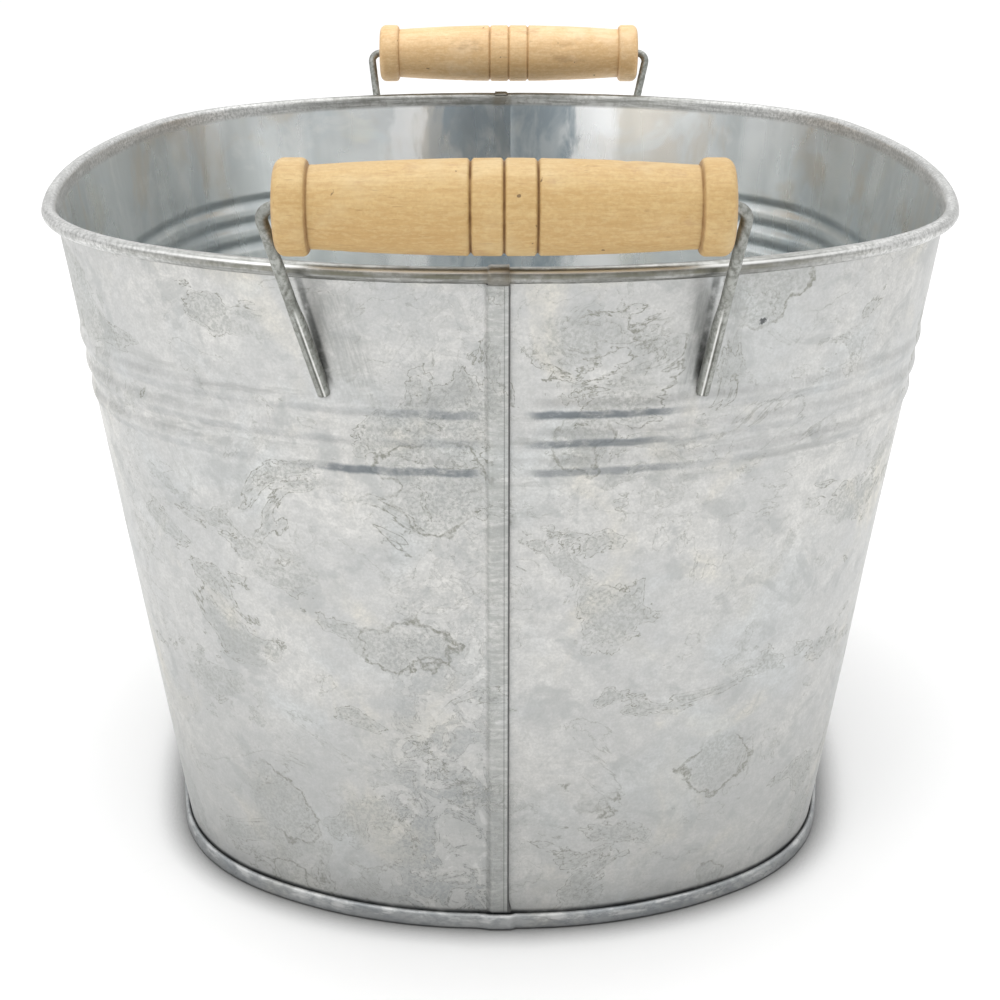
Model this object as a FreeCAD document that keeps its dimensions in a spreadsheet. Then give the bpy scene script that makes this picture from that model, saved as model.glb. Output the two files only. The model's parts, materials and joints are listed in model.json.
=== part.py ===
import FreeCAD, Part
import Sketcher
import math
import os
from FreeCAD import Placement, Rotation, Vector

# Oval galvanised tub with two bail handles.
# Frame: +Z up, X across the tub, Y along its length, origin on the ground under the middle of the base.
# All sizes are millimetres.

SIZES = [
    # plan oval of the rim, measured on the centre line of the rim wire
    ("rim_half_width", 125.8),
    ("rim_half_length", 153.8),
    ("corner_radius", 88.0),
    ("corner_centre_x", 31.6),
    ("corner_centre_y", 57.2),
    ("seam_flat_half", 4.0),
    # sheet metal
    ("gauge", 0.4),
    ("fold_pitch", 0.5),
    ("tub_height", 185.0),
    ("wall_inset", 26.7),
    ("wall_knee_level", 4.7),
    ("rim_wire_radius", 1.5),
    ("rim_wire_gap", 0.05),
    ("curl_wrap", 310.0),
    # swaged ribs
    ("rib_level_low", 135.8),
    ("rib_level_mid", 143.1),
    ("rib_level_high", 150.4),
    ("rib_radius", 3.2),
    ("rib_rise", 1.0),
    ("rib_stop_lap_side", 9.5),
    ("rib_stop_base_side", 5.4),
    # grooved lock seams on the end walls
    ("lap_fold_x", 1.5),
    ("base_fold_x", 1.2),
    ("fold_run_short", 0.2),
    ("joggle_angle", 50.0),
    ("joggle_start", 0.1),
    ("seam_low_level", 4.95),
    ("seam_high_level", 180.1),
    ("seam_butt_gap", 0.1),
    # rolled hem that joins the pan to the walls
    ("hem_turn_level", 1.2),
    ("hem_top_turn_level", 3.8),
    ("hem_hook_end_level", 1.5),
    ("flange_end_level", 3.6),
    ("floor_level", 4.6),
    ("floor_corner_radius", 0.8),
    # bail wires
    ("bail_wire_radius", 1.4),
    ("bail_bend_radius", 3.0),
    ("bail_half_straight", 49.0),
    ("steep_leg_angle", 12.9),
    ("upright_leg_angle", 7.3),
    ("steep_leg_length", 45.7),
    ("upright_leg_length", 46.0),
    ("front_steep_tilt", 19.6),
    ("front_upright_tilt", 21.3),
    ("rear_steep_tilt", 21.1),
    ("rear_upright_tilt", 19.7),
    ("front_bail_x", 0.8),
    ("rear_bail_x", 3.2),
    ("weld_gap", 0.02),
    ("weld_low_level", 130.0),
    ("weld_high_level", 178.0),
    ("grip_axis_y", 159.4),
    ("grip_axis_level", 199.1),
    # turned grips
    ("grip_length", 97.6),
    ("grip_bore_radius", 1.48),
    ("collar_length", 7.2),
    ("collar_radius", 10.45),
    ("collar_edge_round", 2.0),
    ("shoulder_length", 1.4),
    ("neck_radius", 8.95),
    ("barrel_radius", 10.35),
    ("groove_pitch", 7.15),
    ("groove_half_width", 0.7),
    ("groove_depth", 0.7),
]

doc = FreeCAD.newDocument("oval_tub")
sheet = doc.addObject("Spreadsheet::Sheet", "Dims")
for row, (alias, value) in enumerate(SIZES, start=1):
    sheet.set("A%d" % row, alias)
    sheet.set("B%d" % row, str(value))
    sheet.setAlias("B%d" % row, alias)
doc.recompute()


def size(alias):
    """One driving dimension, read from the sheet."""
    return float(getattr(sheet, alias))


GAUGE = size("gauge")
PITCH = size("fold_pitch")
FLAT = size("seam_flat_half")
CURL_RADIUS = size("rim_wire_radius") + size("rim_wire_gap") + GAUGE / 2
RIM_LEVEL = size("tub_height") - CURL_RADIUS - GAUGE / 2
KNEE_N = -size("wall_inset")
KNEE_Z = size("wall_knee_level")


# ---------------------------------------------------------------- the plan oval

class PlanArc:
    """One arc of the plan oval; angles in degrees, counter-clockwise seen from above."""

    def __init__(self, x, y, radius, start, end):
        self.centre = Vector(x, y, 0)
        self.radius = radius
        self.start = start
        self.end = end

    def direction(self, angle):
        return Vector(math.cos(math.radians(angle)), math.sin(math.radians(angle)), 0)

    def point(self, offset, angle, level):
        return self.centre + self.direction(angle) * (self.radius + offset) + Vector(0, 0, level)

    def mirrored_x(self):
        return PlanArc(-self.centre.x, self.centre.y, self.radius, 180 - self.end, 180 - self.start)

    def mirrored_y(self):
        return PlanArc(self.centre.x, -self.centre.y, self.radius, -self.end, -self.start)


def tangent_radius(reach, across, corner_radius, bulge):
    """Radius of the arc that touches the corner arc and crosses its own axis `bulge` further out."""
    return (reach * reach + across * across - corner_radius * corner_radius) / (2 * bulge)


def quadrant_arcs():
    """Half side arc, corner arc and end arc of the quadrant with positive X and Y."""
    width, length = size("rim_half_width"), size("rim_half_length")
    corner = size("corner_radius")
    cx, cy = size("corner_centre_x"), size("corner_centre_y")
    side_radius = tangent_radius(width - cx, cy, corner, width - cx - corner)
    end_radius = tangent_radius(length - cy, cx - FLAT, corner, length - cy - corner)
    side_x = width - side_radius
    end_y = length - end_radius
    side_end = math.degrees(math.atan2(cy, cx - side_x))
    end_start = math.degrees(math.atan2(cy - end_y, cx - FLAT))
    side = PlanArc(side_x, 0, side_radius, 0, side_end)
    corner_arc = PlanArc(cx, cy, corner, side_end, end_start)
    end = PlanArc(FLAT, end_y, end_radius, end_start, 90)
    return side, corner_arc, end


SIDE_ARC, CORNER_ARC, END_ARC = quadrant_arcs()


def left_arcs():
    """The five arcs of the half with negative X, from the rear end round to the front end."""
    rear_end = END_ARC.mirrored_x()
    rear_corner = CORNER_ARC.mirrored_x()
    side = SIDE_ARC.mirrored_x()
    side = PlanArc(side.centre.x, 0, side.radius, side.start, 360 - side.start)
    front_corner = rear_corner.mirrored_y()
    front_end = rear_end.mirrored_y()
    return [rear_end, rear_corner, side, front_corner, front_end]


def revolve_on(arc, section, start=None, end=None):
    """Sweep a section drawn in the X (outward) and Z plane along a plan arc."""
    start = arc.start if start is None else start
    end = arc.end if end is None else end
    placed = section.copy()
    placed.translate(Vector(arc.radius, 0, 0))
    placed.rotate(Vector(0, 0, 0), Vector(0, 0, 1), start)
    placed.translate(arc.centre)
    return placed.revolve(arc.centre, Vector(0, 0, 1), end - start)


def at_front(section, x):
    """Place a section in the plane of constant X on the flat of the front end wall."""
    placed = section.copy()
    placed.rotate(Vector(0, 0, 0), Vector(0, 0, 1), -90)
    placed.translate(Vector(x, -size("rim_half_length"), 0))
    return placed


def along_front(section, x_from, x_to):
    """Run a section along X on the flat of the front end wall."""
    return at_front(section, x_from).extrude(Vector(x_to - x_from, 0, 0))


def half_turn(shape):
    turned = shape.copy()
    turned.rotate(Vector(0, 0, 0), Vector(0, 0, 1), 180)
    return turned


def united(solids):
    """Fuse solids into one and merge the faces that run on."""
    body = solids[0].multiFuse(solids[1:]).removeSplitter()
    return body.Solids[0] if len(body.Solids) == 1 else body


# ---------------------------------------------------------------- bent strip sections

def bent_strip(start, heading, steps, thickness):
    """Face of a bent strip: steps are ("run", length) or ("bend", centre-line radius, degrees)."""
    spot = Vector(start[0], 0, start[1])
    angle = math.radians(heading)
    left_edges, right_edges = [], []

    def side_point(centre, turn, distance):
        return centre + Vector(-math.sin(turn), 0, math.cos(turn)) * distance

    first = (side_point(spot, angle, thickness / 2), side_point(spot, angle, -thickness / 2))
    left, right = first
    for step in steps:
        if step[0] == "run":
            spot = spot + Vector(math.cos(angle), 0, math.sin(angle)) * step[1]
            new_left = side_point(spot, angle, thickness / 2)
            new_right = side_point(spot, angle, -thickness / 2)
            left_edges.append(Part.makeLine(left, new_left))
            right_edges.append(Part.makeLine(right, new_right))
        else:
            radius, turn = step[1], math.radians(step[2])
            side = 1 if turn > 0 else -1
            pivot = side_point(spot, angle, side * radius)
            middle, last = angle + turn / 2, angle + turn
            left_radius, right_radius = radius - side * thickness / 2, radius + side * thickness / 2
            new_left = side_point(pivot, last, -side * left_radius)
            new_right = side_point(pivot, last, -side * right_radius)
            left_mid = side_point(pivot, middle, -side * left_radius)
            right_mid = side_point(pivot, middle, -side * right_radius)
            left_edges.append(Part.Arc(left, left_mid, new_left).toShape())
            right_edges.append(Part.Arc(right, right_mid, new_right).toShape())
            angle = last
            spot = side_point(pivot, angle, -side * radius)
        left, right = new_left, new_right
    closing = [Part.makeLine(left, right), Part.makeLine(first[0], first[1])]
    return Part.Face(Part.Wire(Part.__sortEdges__(left_edges + right_edges + closing)))


def wall_line():
    """Tilt of the wall from upright (degrees) and its length from the knee to the curl."""
    across, up = -KNEE_N, RIM_LEVEL - KNEE_Z
    reach = math.hypot(across, up)
    tilt = math.degrees(math.acos(CURL_RADIUS / reach) - math.atan2(up, across))
    return tilt, math.sqrt(reach * reach - CURL_RADIUS * CURL_RADIUS)


TILT, WALL_LENGTH = wall_line()
UP_WALL = Vector(math.sin(math.radians(TILT)), 0, math.cos(math.radians(TILT)))
OFF_WALL = Vector(math.cos(math.radians(TILT)), 0, -math.sin(math.radians(TILT)))


def wall_spot(level, off=0.0):
    """Point on the middle of the wall sheet at a height, moved `off` outward along its normal."""
    run = (level - KNEE_Z) / UP_WALL.z
    return Vector(KNEE_N, 0, KNEE_Z) + UP_WALL * run + OFF_WALL * off


def flange_section(wall_run):
    """The bottom flange: upturned hook, fold, upright foot, knee and the first run of the wall."""
    fold = size("hem_turn_level")
    knee_trim = GAUGE * math.tan(math.radians(TILT) / 2)
    steps = [
        ("run", size("flange_end_level") - fold),
        ("bend", PITCH, -180),
        ("run", KNEE_Z - knee_trim - fold),
        ("bend", GAUGE, -TILT),
        ("run", wall_run - knee_trim),
    ]
    return (KNEE_N + 2 * PITCH, size("flange_end_level")), -90, steps


def curl_step():
    return ("bend", CURL_RADIUS, -size("curl_wrap"))


def full_section():
    """Whole wall section from the bottom flange to the curled rim."""
    start, heading, steps = flange_section(WALL_LENGTH)
    return bent_strip(start, heading, steps + [curl_step()], GAUGE)


def low_section(level):
    """Wall section from the flange up to a height."""
    start, heading, steps = flange_section((level - KNEE_Z) / UP_WALL.z)
    return bent_strip(start, heading, steps, GAUGE)


def high_section(level):
    """Wall section from a height up to the end of the curl."""
    spot = wall_spot(level)
    rest = WALL_LENGTH - (level - KNEE_Z) / UP_WALL.z
    return bent_strip((spot.x, spot.z), 90 - TILT, [("run", rest), curl_step()], GAUGE)


# ---------------------------------------------------------------- ribs

def rib_centre(level):
    return wall_spot(level, GAUGE / 2 + size("rib_rise") - size("rib_radius"))


def rib_segment(centre, radius, flat):
    """Circle segment lying beyond a chord at distance `flat` from the circle's centre."""
    half = math.sqrt(radius * radius - flat * flat)
    low = centre + OFF_WALL * flat - UP_WALL * half
    top = centre + OFF_WALL * radius
    high = centre + OFF_WALL * flat + UP_WALL * half
    return Part.Face(Part.Wire([Part.Arc(low, top, high).toShape(), Part.makeLine(high, low)]))


def rib_dome(arc, angle, centre, radius, flat):
    """Rounded end of a rib: half of its segment turned once round the line through its middle."""
    low = centre + OFF_WALL * flat
    side = low + UP_WALL * math.sqrt(radius * radius - flat * flat)
    top = centre + OFF_WALL * radius
    halfway = (math.asin(flat / radius) + math.pi / 2) / 2
    bulge = centre + OFF_WALL * (radius * math.sin(halfway)) + UP_WALL * (radius * math.cos(halfway))
    edges = [Part.makeLine(top, low), Part.makeLine(low, side), Part.Arc(side, bulge, top).toShape()]
    dome = Part.Face(Part.Wire(edges)).revolve(centre, OFF_WALL, 360)
    dome.translate(Vector(arc.radius, 0, 0))
    dome.rotate(Vector(0, 0, 0), Vector(0, 0, 1), angle)
    dome.translate(arc.centre)
    return dome


def rib_solids(level, radius, flat):
    """One rib round the left half, stopping short of both seams."""
    centre = rib_centre(level)
    segment = rib_segment(centre, radius, flat)
    rear, rear_corner, side, front_corner, front = left_arcs()
    reach = rear.radius + centre.x
    rear_stop = 90 + math.degrees(math.asin((size("rib_stop_base_side") - FLAT) / reach))
    front_stop = 270 - math.degrees(math.asin((size("rib_stop_lap_side") - FLAT) / reach))
    solids = [revolve_on(rear, segment, rear_stop, rear.end)]
    solids += [revolve_on(arc, segment) for arc in (rear_corner, side, front_corner)]
    solids.append(revolve_on(front, segment, front.start, front_stop - 360))
    solids.append(rib_dome(rear, rear_stop, centre, radius, flat))
    solids.append(rib_dome(front, front_stop, centre, radius, flat))
    return solids


# ---------------------------------------------------------------- lock seams

def on_front_wall(x, off, run):
    """Point on the flat of the front end wall: across, outward from mid sheet, up the slope."""
    along = Vector(KNEE_N, 0, KNEE_Z) + UP_WALL * run + OFF_WALL * off
    return Vector(x, -size("rim_half_length") - along.x, along.z)


def seam_strip(start_x, steps):
    """Folded strip of the seam, extruded up the front end wall; steps run in plan."""
    low = (size("seam_low_level") - KNEE_Z) / UP_WALL.z
    high = (size("seam_high_level") - KNEE_Z) / UP_WALL.z
    heading = 0 if start_x < 0 else 180
    section = bent_strip((start_x, 0), heading, steps, GAUGE)
    section.rotate(Vector(0, 0, 0), Vector(1, 0, 0), 90 - TILT)
    section.translate(on_front_wall(0, 0, low))
    rise = on_front_wall(0, 0, high) - on_front_wall(0, 0, low)
    return section.extrude(rise)


def lap_hook():
    """Edge that steps out over the seam and folds back: centre lines at three pitches, then one."""
    fold = size("lap_fold_x")
    angle = size("joggle_angle")
    radians = math.radians(angle)
    rise = 3 * PITCH - 2 * PITCH * (1 - math.cos(radians))
    slant = rise / math.sin(radians)
    used = size("joggle_start") + 2 * PITCH * math.sin(radians) + slant * math.cos(radians)
    steps = [
        ("run", size("joggle_start")),
        ("bend", PITCH, angle),
        ("run", slant),
        ("bend", PITCH, -angle),
        ("run", FLAT + fold - used),
        ("bend", PITCH, -180),
        ("run", fold + size("base_fold_x") - size("fold_run_short")),
    ]
    return seam_strip(-FLAT, steps)


def base_hook():
    """Edge that runs under the seam, folds outward and returns between the other sheet's layers."""
    fold = size("base_fold_x")
    steps = [
        ("run", FLAT + fold),
        ("bend", PITCH, -180),
        ("run", fold + size("lap_fold_x") - size("fold_run_short")),
    ]
    return seam_strip(FLAT, steps)


def curl_ring(x_from, x_to, grow_from, grow_to):
    """Part of the curl over the seam, growing from one radius to another along X."""
    sections = []
    for x, grow in ((x_from, grow_from), (x_to, grow_to)):
        radius = CURL_RADIUS + grow
        wrap = [("bend", radius, 90 - size("curl_wrap"))]
        ring = bent_strip((0, RIM_LEVEL + radius), 0, wrap, GAUGE)
        sections.append(at_front(ring, x).OuterWire)
    return Part.makeLoft(sections, True, True)


def lap_edge():
    """Front edge of a shell: the lapping side of the seam."""
    butt = -size("base_fold_x") - PITCH - GAUGE / 2 - size("seam_butt_gap")
    step_start = butt - 2 * PITCH
    return [
        along_front(low_section(size("seam_low_level")), -FLAT, butt),
        along_front(high_section(size("seam_high_level")), -FLAT, butt),
        lap_hook(),
        curl_ring(step_start, butt, 0, PITCH),
        curl_ring(butt, size("lap_fold_x") + PITCH, PITCH, PITCH),
    ]


def base_edge():
    """Front edge of a shell on the other side: the sheet that runs under the seam."""
    butt = -size("base_fold_x") - PITCH - GAUGE / 2
    return [
        along_front(low_section(size("seam_low_level")), FLAT, butt),
        along_front(high_section(size("seam_high_level")), FLAT, butt),
        base_hook(),
    ]


# ---------------------------------------------------------------- sheet-metal pieces

def half_shell():
    """Left wall: swept section, ribs raised outward and hollow behind, and the two seam edges."""
    section = full_section()
    solids = [revolve_on(arc, section) for arc in left_arcs()]
    levels = [size("rib_level_low"), size("rib_level_mid"), size("rib_level_high")]
    outer = size("rib_radius")
    chord = outer - size("rib_rise") - GAUGE / 2
    hollow = outer - GAUGE
    raised, hollows = [], []
    for level in levels:
        raised += rib_solids(level, outer, chord)
        hollows += rib_solids(level, hollow, chord - GAUGE)
    shell = solids[0].multiFuse(solids[1:] + raised)
    shell = shell.cut(Part.Compound(hollows))
    edges = lap_edge() + [half_turn(solid) for solid in base_edge()]
    return united([shell] + edges)


def oval_sweep(section):
    """Sweep a section round the whole oval."""
    left = [revolve_on(arc, section) for arc in left_arcs()]
    left.append(along_front(section, -FLAT, FLAT))
    return united(left + [half_turn(solid) for solid in left])


def oval_plate(offset, level, thickness):
    """Flat oval plate whose edge lies at an offset from the rim oval."""
    edges = []
    for arc in left_arcs():
        middle = (arc.start + arc.end) / 2
        spots = [arc.point(offset, angle, level) for angle in (arc.start, middle, arc.end)]
        edges.append(Part.Arc(*spots).toShape())
    front = edges[-1].Vertexes[-1].Point
    edges.append(Part.makeLine(front, Vector(-front.x, front.y, front.z)))
    wire = Part.Wire(Part.__sortEdges__(edges + [half_turn(edge) for edge in edges]))
    return Part.Face(wire).extrude(Vector(0, 0, thickness))


def base_pan():
    """Raised floor, its upright wall and the hem that wraps the wall flange."""
    corner = size("floor_corner_radius")
    floor = size("floor_level")
    fold, top = size("hem_turn_level") - PITCH, size("hem_top_turn_level")
    floor_edge = KNEE_N - PITCH - corner
    steps = [
        ("bend", corner, -90),
        ("run", floor - corner - fold),
        ("bend", PITCH, 90),
        ("run", 2 * PITCH),
        ("bend", PITCH, 90),
        ("run", top - fold),
        ("bend", PITCH, 180),
        ("run", top - size("hem_hook_end_level")),
    ]
    hem = oval_sweep(bent_strip((floor_edge, floor), 0, steps, GAUGE))
    plate = oval_plate(floor_edge, floor - GAUGE / 2, GAUGE)
    return united([plate, hem])


def rim_wire():
    circle = Part.makeCircle(size("rim_wire_radius"), Vector(0, 0, RIM_LEVEL), Vector(0, 1, 0))
    return oval_sweep(Part.Face(Part.Wire(circle)))


def add_feature(name, shape, placement=None):
    """A document object that holds a sheet-metal shape under its own name."""
    feature = doc.addObject("Part::Feature", name)
    feature.Label = name
    feature.Shape = shape
    feature.Placement = placement or Placement()
    return feature


# ---------------------------------------------------------------- bodies with sketches

def origin_item(body, role):
    return [item for item in body.Origin.OriginFeatures if item.Role == role][0]


def add_sketch(body, name, role):
    """Sketch on one of the body's own origin planes."""
    sketch = body.newObject("Sketcher::SketchObject", name)
    sketch.AttachmentSupport = (origin_item(body, role), [""])
    sketch.MapMode = "FlatFace"
    return sketch


def drive(sketch, constraint, expression):
    """Bind a sketch dimension to cells of the sheet."""
    index = sketch.addConstraint(constraint)
    sketch.setExpression("Constraints[%d]" % index, expression)


def drawn(expression):
    """Value of a cell expression, used to draw a sketch at its final size."""
    return float(sheet.evalExpression(expression))


def pin(sketch, geometry, vertex, across, up):
    """Fix a sketch point to two cell expressions; an expression of "0" puts it on the axis."""
    if across == "0":
        sketch.addConstraint(Sketcher.Constraint("PointOnObject", geometry, vertex, -2))
    else:
        value = drawn(across)
        drive(sketch, Sketcher.Constraint("DistanceX", -1, 1, geometry, vertex, value), across)
    if up == "0":
        sketch.addConstraint(Sketcher.Constraint("PointOnObject", geometry, vertex, -1))
    else:
        value = drawn(up)
        drive(sketch, Sketcher.Constraint("DistanceY", -1, 1, geometry, vertex, value), up)


def bail_leg_path(body, name, side, angle, length, tilt):
    """Path of half a bail: out of the grip, round the bend and down one leg (side -1 left, +1 right)."""
    sketch = add_sketch(body, name, "XZ_Plane")
    sketch.AttachmentOffset = Placement(Vector(0, 0, 0), Rotation(Vector(1, 0, 0), size(tilt)))
    straight, bend, run = size("bail_half_straight"), size("bail_bend_radius"), size(length)
    turn = math.radians(90 + size(angle))

    def on_bend(part):
        return Vector(side * (straight + bend * math.sin(part)), bend * math.cos(part) - bend, 0)

    bend_start, bend_end = Vector(side * straight, 0, 0), on_bend(turn)
    foot = bend_end + Vector(side * math.cos(turn), -math.sin(turn), 0) * run
    top = sketch.addGeometry(Part.LineSegment(Vector(0, 0, 0), bend_start))
    curve = sketch.addGeometry(Part.Arc(bend_start, on_bend(turn / 2), bend_end))
    leg = sketch.addGeometry(Part.LineSegment(bend_end, foot))
    near, far = (2, 1) if side > 0 else (1, 2)
    sketch.addConstraint(Sketcher.Constraint("Coincident", top, 1, -1, 1))
    sketch.addConstraint(Sketcher.Constraint("PointOnObject", top, 2, -1))
    sketch.addConstraint(Sketcher.Constraint("Tangent", top, 2, curve, near))
    sketch.addConstraint(Sketcher.Constraint("Tangent", curve, far, leg, 1))
    drive(sketch, Sketcher.Constraint("Distance", top, straight), "Dims.bail_half_straight")
    drive(sketch, Sketcher.Constraint("Radius", curve, bend), "Dims.bail_bend_radius")
    drive(sketch, Sketcher.Constraint("Distance", leg, run), "Dims." + length)
    heading = math.atan2(foot.y - bend_end.y, foot.x - bend_end.x)
    lean = "-90 deg + %d deg * Dims.%s" % (-side, angle)
    drive(sketch, Sketcher.Constraint("Angle", leg, heading), lean)
    return sketch


def bail_body(name, placement, legs):
    """Bail wire as one round section swept along its two half paths."""
    body = doc.addObject("PartDesign::Body", name)
    section = add_sketch(body, name + "_section", "YZ_Plane")
    circle = section.addGeometry(Part.Circle(Vector(0, 0, 0), Vector(0, 0, 1), size("bail_wire_radius")))
    section.addConstraint(Sketcher.Constraint("Coincident", circle, 3, -1, 1))
    radius = Sketcher.Constraint("Radius", circle, size("bail_wire_radius"))
    drive(section, radius, "Dims.bail_wire_radius")
    for side, (angle, length, tilt) in legs.items():
        path_name = "%s_path_%s" % (name, "right" if side > 0 else "left")
        path = bail_leg_path(body, path_name, side, angle, length, tilt)
        doc.recompute()
        pipe = body.newObject("PartDesign::AdditivePipe", path.Name + "_pipe")
        pipe.Profile = section
        pipe.Spine = (path, [])
    body.Placement = placement
    doc.recompute()
    return body


def weld_clearance():
    """Cones just proud of the end walls; cutting them away flattens the wire feet against the sheet."""
    low, high = size("weld_low_level"), size("weld_high_level")
    solids = []
    for arc in (left_arcs()[0], left_arcs()[4], END_ARC, END_ARC.mirrored_y()):
        radii = [arc.radius + wall_spot(level, GAUGE / 2 + size("weld_gap")).x for level in (low, high)]
        solids.append(Part.makeCone(radii[0], radii[1], high - low, arc.centre + Vector(0, 0, low)))
    return Part.Compound(solids)


def bail_wire(name, placement, legs):
    """The bail with its feet pressed flat where they are welded to the wall."""
    body = bail_body(name + "_round", placement, legs)
    tool = doc.addObject("Part::Feature", name + "_weld_face")
    tool.Shape = weld_clearance()
    wire = doc.addObject("Part::Cut", name)
    wire.Label = name
    wire.Base = body
    wire.Tool = tool
    return wire


def pressed_legs(end):
    """Cells that size the two legs of one bail, left then right as seen from outside."""
    steep = ("steep_leg_angle", "steep_leg_length", end + "_steep_tilt")
    upright = ("upright_leg_angle", "upright_leg_length", end + "_upright_tilt")
    return {-1: steep, 1: upright}


# ---------------------------------------------------------------- turned grips

def grip_profile(body, name):
    """Half section of the grip: bore line, collars, shoulders and the crowned barrel."""
    sketch = add_sketch(body, name + "_profile", "XZ_Plane")
    half = "Dims.grip_length / 2"
    collar = "(%s - Dims.collar_length)" % half
    shoulder = "(%s - Dims.shoulder_length)" % collar
    right = [(half, "Dims.grip_bore_radius"), (half, "Dims.collar_radius"),
             (collar, "Dims.collar_radius"), (shoulder, "Dims.neck_radius")]
    corners = right + [("-" + across, up) for across, up in reversed(right)]
    spots = [Vector(drawn(across), drawn(up), 0) for across, up in corners]
    crown = len(right) - 1
    edges = []
    for index, spot in enumerate(spots):
        following = spots[(index + 1) % len(spots)]
        if index == crown:
            top = Vector(0, size("barrel_radius"), 0)
            edges.append(sketch.addGeometry(Part.Arc(spot, top, following)))
        else:
            edges.append(sketch.addGeometry(Part.LineSegment(spot, following)))
    for index, edge in enumerate(edges):
        sketch.addConstraint(Sketcher.Constraint("Coincident", edge, 2, edges[(index + 1) % len(edges)], 1))
    for index, (across, up) in enumerate(corners):
        pin(sketch, edges[index], 1, across, up)
    reach, rise = "(%s)" % shoulder, "(Dims.barrel_radius - Dims.neck_radius)"
    radius = "(%s ^ 2 + %s ^ 2) / (2 * %s)" % (reach, rise, rise)
    drive(sketch, Sketcher.Constraint("Radius", edges[crown], drawn(radius)), radius)
    return sketch


def groove_sketch(body, name, centre):
    """Triangle that cuts one V groove into the barrel."""
    sketch = add_sketch(body, name, "XZ_Plane")
    above = "(Dims.barrel_radius + Dims.groove_depth)"
    corners = [(centre, "(Dims.barrel_radius - Dims.groove_depth)"),
               ("(%s + 2 * Dims.groove_half_width)" % centre, above),
               ("(%s - 2 * Dims.groove_half_width)" % centre, above)]
    spots = [Vector(drawn(across), drawn(up), 0) for across, up in corners]
    edges = []
    for index, spot in enumerate(spots):
        edges.append(sketch.addGeometry(Part.LineSegment(spot, spots[(index + 1) % 3])))
    for index, edge in enumerate(edges):
        sketch.addConstraint(Sketcher.Constraint("Coincident", edge, 2, edges[(index + 1) % 3], 1))
    for index, (across, up) in enumerate(corners):
        pin(sketch, edges[index], 1, across, up)
    return sketch


def grip(name, placement):
    """Turned wooden grip: revolved section, three V grooves and rounded collar edges."""
    body = doc.addObject("PartDesign::Body", name)
    body.Label = name
    profile = grip_profile(body, name)
    doc.recompute()
    turned = body.newObject("PartDesign::Revolution", name + "_turned")
    turned.Profile = profile
    turned.ReferenceAxis = (profile, ["H_Axis"])
    turned.Angle = 360
    doc.recompute()
    for label, centre in (("left", "-Dims.groove_pitch"), ("middle", "0"), ("right", "Dims.groove_pitch")):
        before = body.Shape.Volume
        cut = groove_sketch(body, "%s_groove_%s_profile" % (name, label), centre)
        doc.recompute()
        groove = body.newObject("PartDesign::Groove", "%s_groove_%s" % (name, label))
        groove.Profile = cut
        groove.ReferenceAxis = (cut, ["H_Axis"])
        groove.Angle = 360
        doc.recompute()
        if body.Shape.Volume >= before:
            raise RuntimeError("%s does not cut" % groove.Name)
    rims = []
    for index, edge in enumerate(body.Shape.Edges, start=1):
        at_end = abs(abs(edge.CenterOfMass.x) - size("grip_length") / 2) < 0.01
        if at_end and isinstance(edge.Curve, Part.Circle) and edge.Curve.Radius > size("neck_radius"):
            rims.append("Edge%d" % index)
    rounded = body.newObject("PartDesign::Fillet", name + "_rounded")
    rounded.Base = (groove, rims)
    rounded.setExpression("Radius", "Dims.collar_edge_round * 1 mm")
    body.Tip = rounded
    body.Placement = placement
    doc.recompute()
    return body


# ---------------------------------------------------------------- the assembly

FRONT = Placement(Vector(size("front_bail_x"), -size("grip_axis_y"), size("grip_axis_level")), Rotation())
REAR = Placement(Vector(size("rear_bail_x"), size("grip_axis_y"), size("grip_axis_level")),
                 Rotation(Vector(0, 0, 1), 180))
shell_shape = half_shell()
pieces = [
    add_feature("wall_left", shell_shape),
    add_feature("wall_right", shell_shape, Placement(Vector(0, 0, 0), Rotation(Vector(0, 0, 1), 180))),
    add_feature("rim_wire", rim_wire()),
    add_feature("base_pan", base_pan()),
    bail_wire("bail_wire_front", FRONT, pressed_legs("front")),
    bail_wire("bail_wire_rear", REAR, pressed_legs("rear")),
    grip("grip_front", FRONT),
    grip("grip_rear", REAR),
]
doc.recompute()

for item in doc.Objects:
    faults = [word for word in item.State if word in ("Invalid", "Error")]
    if faults:
        raise RuntimeError("%s is %s" % (item.Label, faults))
for piece in pieces:
    if piece.Shape.isNull() or not piece.Shape.isValid():
        raise RuntimeError("%s has no valid shape" % piece.Label)
    if len(piece.Shape.Solids) != 1:
        raise RuntimeError("%s is not one solid" % piece.Label)

os.makedirs("parts", exist_ok=True)
for piece in pieces:
    piece.Shape.exportStep("parts/%s.step" % piece.Label)
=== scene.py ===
import json
import math
from collections import namedtuple

import bmesh
import bpy
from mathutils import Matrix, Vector, noise


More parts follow.
